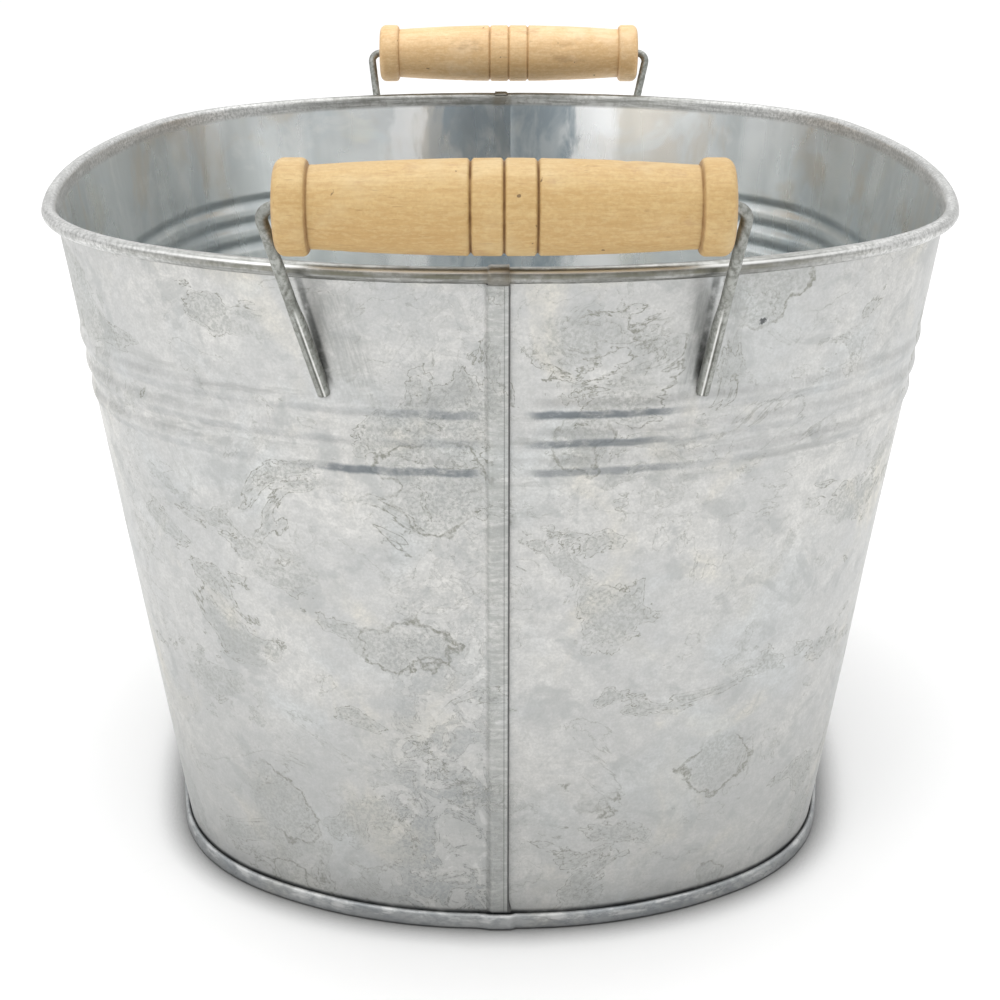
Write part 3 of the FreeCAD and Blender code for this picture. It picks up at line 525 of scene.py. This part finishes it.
def arc(across, up, radius, first, last, gap):
    """Points along an arc between two angles in degrees."""
    turns = spaced(math.radians(first), math.radians(last), math.radians(gap))
    return [(across + radius * math.cos(turn), up + radius * math.sin(turn)) for turn in turns]


def ripple(x, y, seed):
    """Smooth random value from about -1 to 1."""
    return noise.noise(Vector((x, y, seed)))


def linked(name, data):
    item = bpy.data.objects.new(name, data)
    bpy.context.scene.collection.objects.link(item)
    return item


def new_piece(name, mesh, body, node):
    """Link a finished mesh as a piece that rides on a body and stands for its CAD node."""
    piece = linked(name, mesh)
    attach(piece, body)
    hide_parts(node)


def grid_mesh(name, grids, merge=1e-6):
    """Mesh from grids of (columns of points, cell filter, join last column to first, join last row)."""
    shape = bmesh.new()
    facts = shape.verts.layers.float_vector.new("sheet")
    for columns, keep, close_columns, close_rows in grids:
        made = []
        for column in columns:
            line = []
            for place, fact in column:
                vertex = shape.verts.new(place)
                vertex[facts] = fact
                line.append(vertex)
            made.append(line)
        wide, tall = len(made), len(made[0])
        for i in range(wide if close_columns else wide - 1):
            for j in range(tall if close_rows else tall - 1):
                if keep is None or keep(i, j):
                    a, b = made[i], made[(i + 1) % wide]
                    shape.faces.new((a[j], b[j], b[(j + 1) % tall], a[(j + 1) % tall]))
    loose = [vertex for vertex in shape.verts if not vertex.link_faces]
    bmesh.ops.delete(shape, geom=loose, context="VERTS")
    bmesh.ops.remove_doubles(shape, verts=shape.verts, dist=merge)
    mesh = bpy.data.meshes.new(name)
    shape.to_mesh(mesh)
    shape.free()
    return mesh


def closed(mesh, reach=None):
    """Cap the open ends, or only the one hole within a reach of the middle; point all faces outward."""
    shape = bmesh.new()
    shape.from_mesh(mesh)
    edges = [edge for edge in shape.edges if edge.is_boundary]
    if reach:
        edges = [edge for edge in edges if max(abs(v.co.y) for v in edge.verts) < reach]
        bmesh.ops.contextual_create(shape, geom=edges)
    else:
        bmesh.ops.holes_fill(shape, edges=edges, sides=0)
    bmesh.ops.recalc_face_normals(shape, faces=shape.faces)
    shape.to_mesh(mesh)
    shape.free()
    return mesh


def thickened(mesh, name, thickness, materials):
    """The sheet as a solid of real thickness; its far side takes the last of the materials."""
    holder = linked(name, mesh)
    solid = holder.modifiers.new("gauge", "SOLIDIFY")
    solid.thickness = thickness
    solid.offset = 0
    solid.use_even_offset = True
    solid.use_quality_normals = True
    solid.material_offset = len(materials) - 1
    for material in materials:
        mesh.materials.append(material)
    graph = bpy.context.evaluated_depsgraph_get()
    made = bpy.data.meshes.new_from_object(holder.evaluated_get(graph))
    bpy.data.objects.remove(holder)
    return made


def smooth_shaded(mesh, sharp_degrees):
    mesh.shade_smooth()
    mesh.set_sharp_from_angle(angle=math.radians(sharp_degrees))


# ---------------------------------------------------------------- the plan oval

WIRE_LOW, WIRE_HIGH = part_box("rim_wire")
WIRE_RADIUS = (WIRE_HIGH.z - WIRE_LOW.z) / 2
RIM_LEVEL = (WIRE_HIGH.z + WIRE_LOW.z) / 2
HALF_WIDTH = WIRE_HIGH.x - WIRE_RADIUS
HALF_LENGTH = WIRE_HIGH.y - WIRE_RADIUS
CORNER_RADIUS = 88 * MM
CORNER_X, CORNER_Y = 31.6 * MM, 57.2 * MM
SEAM_FLAT = 4 * MM
COLUMN_GAP = 3 * MM


class Station:
    """A place along the plan oval; `run` is the distance from where its piece starts."""

    def __init__(self, centre, heading, radius, run):
        self.centre = Vector((centre[0], centre[1], 0))
        self.heading = Vector((heading[0], heading[1], 0))
        self.radius = radius
        self.run = run

    def at(self, out, up):
        return self.centre + self.heading * (self.radius + out) + Vector((0, 0, up))


def quadrant_arcs():
    """Side, corner and end arcs as (centre x, centre y, radius, first angle, last angle)."""
    def tangent_radius(reach, across, bulge):
        return (reach ** 2 + across ** 2 - CORNER_RADIUS ** 2) / (2 * bulge)

    side = tangent_radius(HALF_WIDTH - CORNER_X, CORNER_Y, HALF_WIDTH - CORNER_X - CORNER_RADIUS)
    end = tangent_radius(HALF_LENGTH - CORNER_Y, CORNER_X - SEAM_FLAT,
                         HALF_LENGTH - CORNER_Y - CORNER_RADIUS)
    side_stop = math.atan2(CORNER_Y, CORNER_X - HALF_WIDTH + side)
    end_start = math.atan2(CORNER_Y - HALF_LENGTH + end, CORNER_X - SEAM_FLAT)
    return [(HALF_WIDTH - side, 0, side, 0, side_stop),
            (CORNER_X, CORNER_Y, CORNER_RADIUS, side_stop, end_start),
            (SEAM_FLAT, HALF_LENGTH - end, end, end_start, math.pi / 2)]


def left_stations(rear_x, front_x):
    """Stations from the rear flat round the left side to the front flat, at the given X on each."""
    side, corner, end = quadrant_arcs()
    turns = [(end, -1, 1, True), (corner, -1, 1, True), (side, -1, 1, True),
             (side, -1, -1, False), (corner, -1, -1, False), (end, -1, -1, False)]
    stations, run = [], 0.0
    flat = spaced(rear_x, -SEAM_FLAT, 1 * MM)
    for x in flat[:-1]:
        stations.append(Station((x, 0), (0, 1), HALF_LENGTH, run + rear_x - x))
    run = rear_x + SEAM_FLAT
    for (x, y, radius, first, last), flip_x, flip_y, backward in turns:
        angles = spaced(first, last, COLUMN_GAP / radius)
        if backward:
            angles = angles[::-1]
        for angle in angles[:-1]:
            swept = abs(angle - angles[0]) * radius
            heading = (flip_x * math.cos(angle), flip_y * math.sin(angle))
            stations.append(Station((flip_x * x, flip_y * y), heading, radius, run + swept))
        run += abs(angles[-1] - angles[0]) * radius
    for x in spaced(-SEAM_FLAT, front_x, 0.7 * MM):
        stations.append(Station((x, 0), (0, -1), HALF_LENGTH, run + x + SEAM_FLAT))
    return stations


def half_turned(point):
    return Vector((-point.x, -point.y, point.z))


# ---------------------------------------------------------------- walls

GAUGE = 0.4 * MM
PITCH = 0.5 * MM
INSET = 26.7 * MM
KNEE = 4.7 * MM
CURL_RADIUS = WIRE_RADIUS + 0.05 * MM + GAUGE / 2
CURL_WRAP = math.radians(310)
SEAM_LOW, SEAM_HIGH = 5.0 * MM, 180.8 * MM
LAP_X, BASE_X = 1.5 * MM, 1.2 * MM
BUTT_X = -BASE_X - PITCH - GAUGE / 2 - 0.1 * MM
RIB_LEVELS = (135.8 * MM, 143.1 * MM, 150.4 * MM)
RIB_HALF, RIB_RISE, RIB_MARGIN = 2.9 * MM, 1.0 * MM, 4.6 * MM
FLANGE_LOW = 1.6
TILT = (math.acos(CURL_RADIUS / math.hypot(INSET, RIM_LEVEL - KNEE))
        - math.atan2(RIM_LEVEL - KNEE, INSET))
SLOPE_SIDE = (math.cos(TILT), -math.sin(TILT))


# one line of the wall's section: place, direction of its outer side, distance up the sheet
Row = namedtuple("Row", "out up side rise curl", defaults=[False])


def wall_rows():
    rows = [Row(-INSET, up * MM, (1, 0), up * MM) for up in (FLANGE_LOW, 2.6, 3.6, 4.4)]
    rib_low, rib_high = RIB_LEVELS[0] - RIB_MARGIN, RIB_LEVELS[2] + RIB_MARGIN
    levels = [SEAM_LOW] + spaced(SEAM_LOW + 1 * MM, rib_low, 3.4 * MM)[:-1]
    levels += spaced(rib_low, rib_high, 0.42 * MM)[:-1] + spaced(rib_high, SEAM_HIGH, 2.8 * MM)
    for level in levels:
        run = level - KNEE
        rows.append(Row(-INSET + run * math.tan(TILT), level, SLOPE_SIDE, KNEE + run / math.cos(TILT)))
    start = math.atan2(-SLOPE_SIDE[1], -SLOPE_SIDE[0])
    foot = rows[-1].rise + (RIM_LEVEL - SEAM_HIGH) / math.cos(TILT)
    for turn in spaced(0, CURL_WRAP, math.radians(13)):
        across, along = math.cos(start - turn), math.sin(start - turn)
        place = (CURL_RADIUS * across, RIM_LEVEL + CURL_RADIUS * along)
        rows.append(Row(place[0], place[1], (-across, -along), foot + CURL_RADIUS * turn, True))
    return rows


ROWS = wall_rows()
LOW_ROW = next(i for i, row in enumerate(ROWS) if row.up >= SEAM_LOW - 1e-9)
HIGH_ROW = next(i for i, row in enumerate(ROWS) if row.curl) - 1


def rib_height(level, run, length, seed):
    """How far the three swaged ribs stand out of the sheet here."""
    total = 0.0
    for index, middle in enumerate(RIB_LEVELS):
        middle += 0.25 * MM * ripple(run * 14, index, seed + 3)
        near = abs(level - middle) / RIB_HALF
        if near < 1:
            fade_in = step(run, 5 * MM + index * MM, 12 * MM + index * 2 * MM)
            lead = (4.5 + ((index * 2) % 3)) * MM
            fade_out = step(length - run, lead - 2 * MM, lead + 5 * MM)
            uneven = (0.60 + 0.35 * ripple(run * 16, index * 5.0, seed)
                      + 0.15 * ripple(run * 60, index * 9.0, seed))
            crown = (0.5 + 0.5 * math.cos(math.pi * near)) ** 0.8
            total += RIB_RISE * uneven * fade_in * fade_out * crown
    return total


def sheet_wave(row, run, seed):
    """Gentle unevenness of hand-worked sheet, calm at the hem and the rim."""
    calm = step(row.up, 4 * MM, 22 * MM) * (1 - step(row.up, 166 * MM, 181 * MM))
    broad = 0.20 * ripple(run * 24, row.up * 20, seed)
    small = 0.05 * ripple(run * 75, row.up * 60, seed + 9)
    upright = 0.05 * ripple(run * 95, row.up * 9, seed + 17)
    return (broad + small + upright) * calm * MM


def bead_wave(turn_place, run, seed):
    """Small inward dents of the rolled bead."""
    return -0.05 * MM * (1 + ripple(run * 120, turn_place * 300, seed)
                         + ripple(run * 420, turn_place * 90, seed))


def wall_point(station, row, length, seed, off=0.0, grow=0.0):
    if row.curl:
        push = -(grow + bead_wave(row.rise, station.run, seed))
    else:
        push = off + rib_height(row.up, station.run, length, seed) + sheet_wave(row, station.run, seed)
    place = station.at(row.out + row.side[0] * push, row.up + row.side[1] * push)
    return place, (station.run, row.rise, off / MM)


def lap_path():
    """Seam lap in plan as (x, distance out of the sheet): joggle, flat, fold and return."""
    rise = 3 * PITCH
    top = -2.0 * MM
    joggle = [(x, rise * step(x, -SEAM_FLAT, top)) for x in spaced(-SEAM_FLAT, top, 0.18 * MM)]
    flat = [(x, rise) for x in spaced(top, LAP_X, 0.65 * MM)[1:]]
    fold = arc(LAP_X, 2 * PITCH, PITCH, 90, -90, 23)[1:]
    back = [(x, PITCH) for x in spaced(LAP_X, -BASE_X + 0.3 * MM, 0.8 * MM)[1:]]
    return joggle + flat + fold + back


def half_wall(name, turned, seed, materials, node):
    """One half of the tub's wall with its lapped front edge."""
    under_lap = 3.9 * MM
    stations = left_stations(under_lap, BUTT_X)
    length = next(s.run for s in stations if s.heading.y == -1 and abs(s.centre.x + SEAM_FLAT) < 1e-7)
    first_lap = next(i for i, s in enumerate(stations) if s.run >= length - 1e-9)
    past_butt = next(i for i, s in enumerate(stations) if s.run >= under_lap + BUTT_X)

    def keep(i, j):
        in_seam = LOW_ROW <= j < HIGH_ROW
        return (i >= past_butt or in_seam) and (i < first_lap or not in_seam)

    shell = [[wall_point(s, row, length, seed) for row in ROWS] for s in stations]
    lap = []
    for x, off in lap_path():
        column = []
        for row in ROWS[LOW_ROW:HIGH_ROW + 1]:
            flare = 0.7 * MM * (1 - step(row.up, SEAM_LOW, 10 * MM)) * step(x, 0, LAP_X)
            pressed = off * (0.62 + 0.38 * step(row.up, SEAM_LOW, 9 * MM))
            station = Station((x + flare, 0), (0, -1), HALF_LENGTH, length + x + SEAM_FLAT)
            column.append(wall_point(station, row, length, seed, pressed))
        lap.append(column)
    curl_rows = [row for row in ROWS if row.curl][2:]
    cap = []
    for x in spaced(-3.2 * MM, 2.0 * MM, 0.4 * MM):
        lift = PITCH * (1.5 * step(x, -3.2 * MM, -2.1 * MM) - 0.5)
        crease = 0.07 * MM * ripple(x * 1900, seed, 4.0) * step(x, -2.8 * MM, -2.0 * MM)
        station = Station((x, 0), (0, -1), HALF_LENGTH, length + x + SEAM_FLAT)
        cap.append([wall_point(station, row, length, seed, 0, lift + crease) for row in curl_rows])
    grids = [(shell, keep, False, False), (lap, None, False, False), (cap, None, False, False)]
    if turned:
        grids = [([[(half_turned(place), fact) for place, fact in column] for column in grid], *rest)
                 for grid, *rest in grids]
    mesh = thickened(grid_mesh(name, grids), name, GAUGE, materials)
    smooth_shaded(mesh, 50)
    new_piece(name, mesh, "tub", node)


# ---------------------------------------------------------------- base pan

FLOOR_LEVEL = 4.6 * MM
BEND_GAP = 22.5


def pan_section():
    """Mid-sheet line of the pan from the floor's edge round the hem: (out, up) pairs."""
    corner, fold, top = 0.8 * MM, 0.7 * MM, 3.8 * MM
    inner, outer = -INSET - PITCH, -INSET + 3 * PITCH
    return [*arc(inner - corner, FLOOR_LEVEL - corner, corner, 90, 0, BEND_GAP),
            (inner, (FLOOR_LEVEL - corner + fold) / 2),
            *arc(inner + PITCH, fold, PITCH, 180, 270, BEND_GAP),
            *arc(outer - PITCH, fold, PITCH, 270, 360, BEND_GAP),
            *((outer, fold + (top - fold) * part) for part in (0.25, 0.5, 0.75)),
            *arc(outer - PITCH, top, PITCH, 0, 180, BEND_GAP),
            (outer - 2 * PITCH, FLANGE_LOW * MM)]


def base_pan(materials):
    """Raised floor and the hem that wraps the wall, pressed outward where it crosses the seams."""
    left = left_stations(-SEAM_FLAT, -SEAM_FLAT)
    half_run = left[-1].run
    ring = left + [Station((x, 0), (0, -1), HALF_LENGTH, half_run + x + SEAM_FLAT)
                   for x in spaced(-SEAM_FLAT, SEAM_FLAT, 0.5 * MM)[1:-1]]
    total = half_run + 2 * SEAM_FLAT
    section = pan_section()
    seam_mid = half_run + SEAM_FLAT - 0.2 * MM

    def hem_point(station, out, up, around):
        outside = step(out, -INSET - 0.2 * MM, -INSET + 0.9 * MM)
        bulge = 0.75 * MM * hump(station.run, seam_mid - 2.6 * MM, seam_mid + 2.4 * MM, 2.6 * MM)
        wobble = (0.10 * MM * (ripple(around * 55, up * 40, 5.0) - 0.4)
                  + 0.04 * MM * ripple(around * 260, up * 200, 6.0))
        lift = 0.10 * MM * ripple(around * 30, 2.0, 7.0) * step(up, 2 * MM, 4 * MM)
        return station.at(out + (bulge + wobble) * outside, up + lift)

    def floor_point(station, out):
        level = station.at(out, 0)
        sag = 0.12 * MM * ripple(level.x * 22, level.y * 22, 8.0) * step(-out, 28 * MM, 40 * MM)
        return station.at(out, FLOOR_LEVEL + sag)

    columns = []
    for half in range(2):
        for station in ring:
            around = station.run + half * total
            column = []
            inner = station.at(-70 * MM, FLOOR_LEVEL)
            for scale in (0.12, 0.4, 0.7):
                column.append((Vector((inner.x * scale, inner.y * scale, FLOOR_LEVEL)), (around, scale, 0)))
            for out in (-70, -56, -44, -36, -31):
                column.append((floor_point(station, out * MM), (around, out * MM, 0)))
            for out, up in section:
                column.append((hem_point(station, out, up, around), (around, out, up)))
            if half:
                column = [(half_turned(place), fact) for place, fact in column]
            columns.append(column)
    mesh = closed(grid_mesh("floor_and_hem", [(columns, None, True, False)]), 30 * MM)
    mesh = thickened(mesh, "floor_and_hem", GAUGE, materials)
    smooth_shaded(mesh, 50)
    new_piece("floor_and_hem", mesh, "tub", "base_pan")


# ---------------------------------------------------------------- bail wires

BAIL_RADIUS = 1.4 * MM
BEND_RADIUS = 3.0 * MM
HALF_STRAIGHT = 49.0 * MM
FOOT_REACH = 1.0 * MM
FOOT_CLEARANCE, FOOT_HIGH = 0.03 * MM, 176 * MM
WIRE_SIDES = 24


def pivots():
    """Centre of each grip's axis, from the joints."""
    return {joint["child"]: Vector(joint["pos_m"]) for joint in frame["joints"]}


def leg_frames(side, lean, length, tilt):
    """Places and headings down one leg in the bail's own frame, starting inside the grip."""
    straight = Vector((side, 0, 0))
    down = Vector((0, math.sin(math.radians(tilt)), -math.cos(math.radians(tilt))))
    turn = math.radians(90 + lean)
    frames = [(straight * x, straight, -1.0) for x in spaced(0, HALF_STRAIGHT, 3 * MM)[:-1]]
    for angle in spaced(0, turn, math.radians(9)):
        place = straight * (HALF_STRAIGHT + BEND_RADIUS * math.sin(angle))
        place += down * (BEND_RADIUS * (1 - math.cos(angle)))
        heading = straight * math.cos(angle) + down * math.sin(angle)
        frames.append((place, heading, 0.0))
    start = frames[-1][0]
    heading = straight * math.cos(turn) + down * math.sin(turn)
    for run in spaced(0, length * MM + FOOT_REACH, 0.4 * MM)[1:]:
        frames.append((start + heading * run, heading, run))
    return frames


def wall_face(up):
    """Distance out of the rim's line of the wall's outer face at a height."""
    return -INSET + (up - KNEE) * math.tan(TILT) + GAUGE / 2 / math.cos(TILT)


def press_to_wall(place, end_centre_y, end_radius):
    """Keep a point of the wire's foot outside the end wall."""
    x = abs(place.x) - SEAM_FLAT
    y = abs(place.y) - end_centre_y
    reach = math.hypot(x, y)
    least = end_radius + wall_face(place.z) + FOOT_CLEARANCE
    if reach >= least or place.z > FOOT_HIGH:
        return place
    grow = least / reach
    return Vector((math.copysign(SEAM_FLAT + x * grow, place.x),
                   math.copysign(end_centre_y + y * grow, place.y), place.z))


def wire_radius(angle, run, length, seed):
    """Radius round the wire's own axis and how deep in a mark it lies: twist marks, pressed foot."""
    if run < 0:
        return BAIL_RADIUS, 0.0
    radius = BAIL_RADIUS * (1 + 0.012 * ripple(run * 500, angle, seed))
    twist = (angle / (2 * math.pi) * 2 + run / (5.2 * MM)) % 1.0
    mark = math.exp(-((twist - 0.5) / 0.11) ** 2)
    upper = 1 - step(run, 17 * MM, 27 * MM)
    wear_and_sheen = 0.55 + 0.45 * ripple(run * 260, 3.0, seed)
    twist_mark = mark * upper * max(wear_and_sheen, 0.15)
    radius -= 0.12 * MM * twist_mark
    foot = step(run, length - 25 * MM, length - 17 * MM)
    facing = math.cos(angle)
    groove = math.exp(-((math.sin(angle) - 0.26 if facing > 0 else 9) / 0.20) ** 2)
    radius -= foot * (0.30 * MM * groove + 0.06 * MM * max(facing, 0))
    radius += foot * 0.14 * MM * math.sin(angle) ** 2
    radius += foot * 0.42 * MM * step(-facing, 0.25, 0.8)
    return radius, max(twist_mark, 0.8 * groove * foot)


def bail(name, end, legs, material, node):
    """Bail wire swept through the grip and down both legs; `end` is -1 at the front, 1 at the rear."""
    centre = pivots()["front_grip" if end < 0 else "rear_grip"]
    side_arc = quadrant_arcs()[2]
    halves = []
    for side, (lean, length, tilt) in legs.items():
        frames = leg_frames(side, lean, length, tilt)
        outward = Vector((0, -1, 0))
        heading = frames[0][1]
        rings = []
        for place, direction, run in frames:
            outward = heading.rotation_difference(direction) @ outward
            heading = direction
            outward = (outward - heading * outward.dot(heading)).normalized()
            across = heading.cross(outward) * side
            ring = []
            for k in range(WIRE_SIDES):
                angle = 2 * math.pi * k / WIRE_SIDES
                radius, mark = wire_radius(angle, run, length * MM, side + end * 2.5)
                spot = place + (outward * math.cos(angle) + across * math.sin(angle)) * radius
                if end > 0:
                    spot = half_turned(spot)
                spot += centre
                if run > 12 * MM:
                    spot = press_to_wall(spot, side_arc[1], side_arc[2])
                ring.append((spot, (run, angle, mark)))
            rings.append(ring)
        tip = sum((spot for spot, _ in rings[-1]), Vector()) / WIRE_SIDES
        drop = frames[-1][1] * (0.25 * MM)
        if end > 0:
            drop = half_turned(drop)
        rings.append([(tip + (spot - tip) * 0.78 + drop, fact) for spot, fact in rings[-1]])
        rings.append([(tip + (spot - tip) * 0.05 + drop * 1.1, fact) for spot, fact in rings[-1]])
        halves.append(rings)
    mesh = closed(grid_mesh(name, [(rings, None, False, True) for rings in halves]))
    mesh.materials.append(material)
    smooth_shaded(mesh, 60)
    new_piece(name, mesh, "tub", node)


# ---------------------------------------------------------------- turned grips

GRIP_HALF = 48.8 * MM
COLLAR_LENGTH, COLLAR_RADIUS, COLLAR_ROUND, HEEL = 7.2 * MM, 10.45 * MM, 2.3 * MM, 1.5 * MM
SHOULDER, NECK_RADIUS, BARREL_RADIUS = 1.4 * MM, 8.95 * MM, 10.35 * MM
GROOVE_PITCH, GROOVE_HALF, GROOVE_DEPTH = 7.15 * MM, 0.7 * MM, 0.7 * MM
BORE_RADIUS = 1.48 * MM
GRIP_SIDES = 96


def barrel_radius(x):
    """Crowned barrel with its three V grooves."""
    reach = GRIP_HALF - COLLAR_LENGTH - SHOULDER
    radius = BARREL_RADIUS - (BARREL_RADIUS - NECK_RADIUS) * (x / reach) ** 2
    for middle in (-GROOVE_PITCH, 0, GROOVE_PITCH):
        near = abs(x - middle) / GROOVE_HALF
        if near < 1:
            radius -= GROOVE_DEPTH * (1 - near) ** 1.15
    return radius


def grip_line():
    """Half of the grip's outline from its middle to the bore: (x, radius) pairs."""
    reach = GRIP_HALF - COLLAR_LENGTH - SHOULDER
    line = []
    for x in spaced(0, GROOVE_PITCH + GROOVE_HALF, 0.1 * MM):
        near = min(abs(x), abs(x - GROOVE_PITCH))
        if near < 1.2 * GROOVE_HALF or not line or x - line[-1][0] > 0.65 * MM:
            line.append((x, barrel_radius(x)))
    line += [(x, barrel_radius(x)) for x in spaced(line[-1][0], reach, 0.7 * MM)[1:]]
    inner = GRIP_HALF - COLLAR_LENGTH
    line += [(inner - 0.5 * MM, NECK_RADIUS), (inner - 0.1 * MM, NECK_RADIUS - 0.15 * MM)]
    line += arc(inner + HEEL, COLLAR_RADIUS - HEEL, HEEL, 178, 90, 11)
    line += [(x, COLLAR_RADIUS) for x in spaced(inner + HEEL, GRIP_HALF - COLLAR_ROUND, 0.6 * MM)[1:-1]]
    line += arc(GRIP_HALF - COLLAR_ROUND, COLLAR_RADIUS - COLLAR_ROUND, COLLAR_ROUND, 90, 0, 10)
    line += [(GRIP_HALF, radius * MM) for radius in (7.4, 6.2, 5.0, 3.8, 2.6)]
    line += [(GRIP_HALF - 0.1 * MM, BORE_RADIUS + 0.25 * MM), (GRIP_HALF - 0.4 * MM, BORE_RADIUS),
             (GRIP_HALF - 4 * MM, BORE_RADIUS)]
    return line


def grip(name, body, node, seed, material):
    """Turned wooden grip with rubbed collars, small dents and open grain."""
    centre = pivots()[body]
    half = grip_line()
    line = [(-x, radius) for x, radius in reversed(half)] + half[1:]
    columns = []
    for x, radius in line:
        ring = []
        for k in range(GRIP_SIDES):
            angle = 2 * math.pi * k / GRIP_SIDES
            y, z = math.cos(angle), math.sin(angle)
            wear_and_sheen = 0.05 * ripple(x * 90 + y * 2, z * 2, seed) + 0.02 * ripple(x * 400, angle * 5, seed + 4)
            wear_and_sheen -= 0.22 * step(ripple(x * 260, y * 2.6, z * 2.6 + seed), 0.42, 0.62)
            outer = step(radius, 2 * MM, 4 * MM) * (1 - step(abs(x), GRIP_HALF - 0.8 * MM, GRIP_HALF))
            out = min(radius + wear_and_sheen * MM * outer, COLLAR_RADIUS)
            ring.append((centre + Vector((x, out * y, out * z)), (x, angle, radius)))
        columns.append(ring)
    mesh = closed(grid_mesh(name, [(columns, None, True, True)]))
    mesh.materials.append(material)
    smooth_shaded(mesh, 38)
    new_piece(name, mesh, body, node)


# ---------------------------------------------------------------- the object

OUTSIDE, INSIDE = wall_outside(), wall_inside()
half_wall("left_wall", False, 11.0, [OUTSIDE, INSIDE], "wall_left")
half_wall("right_wall", True, 47.0, [OUTSIDE, INSIDE], "wall_right")
base_pan([pan_sheet()])
WIRE_FINISH = bail_steel()
bail("front_bail", -1, {-1: (12.9, 45.7, 19.6), 1: (7.3, 46.0, 21.3)}, WIRE_FINISH, "bail_wire_front")
bail("rear_bail", 1, {-1: (12.9, 45.7, 21.1), 1: (7.3, 46.0, 19.7)}, WIRE_FINISH, "bail_wire_rear")
# painted light: the front grip is made darker and the rear one lighter, standing in for how each is lit
grip("front_wood_grip", "front_grip", "grip_front", 3.0, grip_wood("turned_wood_front", 0.85, 0.77, 0.95))
grip("rear_wood_grip", "rear_grip", "grip_rear", 8.0, grip_wood("turned_wood_rear", 1.20, 0.92, 0.30))
CORE = rim_core()
for slot in frame["nodes"]["rim_wire"].material_slots:
    slot.material = CORE


# ---------------------------------------------------------------- studio and camera

def studio_floor():
    half = 12.0
    mesh = bpy.data.meshes.new("studio_floor")
    mesh.from_pydata([(-half, -half, 0), (half, -half, 0), (half, half, 0), (-half, half, 0)], [],
                     [(0, 1, 2, 3)])
    floor = linked("studio_floor", mesh)
    s = Shader("studio_floor")
    tone = s.ramp(s.noise(s.place(), 3, 2), [(0.3, (0.86, 0.86, 0.86)), (0.7, (0.88, 0.88, 0.88))])
    # soft contact shade close to whatever stands on it
    near = s.add("ShaderNodeAmbientOcclusion", {"Distance": 15 * MM}, output=1, samples=8)
    tone = s.mix(s.fade(near, 0.40, 0.96, 0.86, 0.0), tone, (0.05, 0.05, 0.048))
    mesh.materials.append(s.finish(Base_Color=tone, Roughness=0.9))


def softbox(name, location, target, width, height, watts):
    light = bpy.data.lights.new(name, "AREA")
    light.shape = "RECTANGLE"
    light.size, light.size_y = width, height
    light.energy = watts
    lamp = linked(name, light)
    lamp.location = location
    lamp.rotation_mode = "QUATERNION"
    lamp.rotation_quaternion = (Vector(target) - Vector(location)).to_track_quat("-Z", "Y")


def dark_card(name, corners):
    """Dark panel that shows only in reflections."""
    mesh = bpy.data.meshes.new(name)
    mesh.from_pydata(corners, [], [(0, 1, 2, 3)])
    card = linked(name, mesh)
    s = Shader(name)
    tone = s.ramp(s.noise(s.place(), 2, 2), [(0.3, (0.015, 0.018, 0.022)), (0.7, (0.03, 0.034, 0.04))])
    mesh.materials.append(s.finish(Base_Color=tone, Roughness=0.9))
    card.visible_camera = False
    card.visible_diffuse = False
    card.visible_shadow = False


def white_sky():
    """Plain white surround, brighter overhead than at the horizon."""
    world = bpy.data.worlds.new("studio")
    world.use_nodes = True
    tree = world.node_tree
    view = tree.nodes.new("ShaderNodeTexCoord")
    parts = tree.nodes.new("ShaderNodeSeparateXYZ")
    lift = tree.nodes.new("ShaderNodeMapRange")
    lift.interpolation_type = "SMOOTHSTEP"
    for index, value in enumerate((0.0, 0.0, 0.8, 0.72, 1.30)):
        lift.inputs[index].default_value = value
    sky = tree.nodes["Background"]
    sky.inputs[0].default_value = (1, 1, 1, 1)
    tree.links.new(view.outputs["Generated"], parts.inputs[0])
    tree.links.new(parts.outputs[2], lift.inputs[0])
    tree.links.new(lift.outputs[0], sky.inputs[1])
    bpy.context.scene.world = world


def studio():
    white_sky()
    softbox("overhead", (0.0, 0.1, 1.5), (0, 0, 0.1), 1.6, 1.6, 11)
    softbox("front_left", (-0.9, -1.1, 0.9), (0, 0, 0.1), 0.8, 0.8, 3.5)
    dark_card("dark_card_front",
              [(-0.17, -1.3, 0.18), (0.17, -1.3, 0.18), (0.17, -1.3, 0.8), (-0.17, -1.3, 0.8)])
    studio_floor()
    bpy.context.scene.view_settings.view_transform = "Standard"


LENS, LENS_SHIFT = 64.15, -0.0098
EYE = (-0.0001, -0.5375, 0.2691)
LOOK_DOWN = 0.3406


def camera():
    data = bpy.data.cameras.new("camera")
    data.sensor_width = 36
    data.lens = LENS
    data.shift_y = LENS_SHIFT
    eye = linked("camera", data)
    eye.location = EYE
    eye.rotation_euler = (math.pi / 2 - LOOK_DOWN, 0, 0)
    bpy.context.scene.camera = eye


camera()
studio()
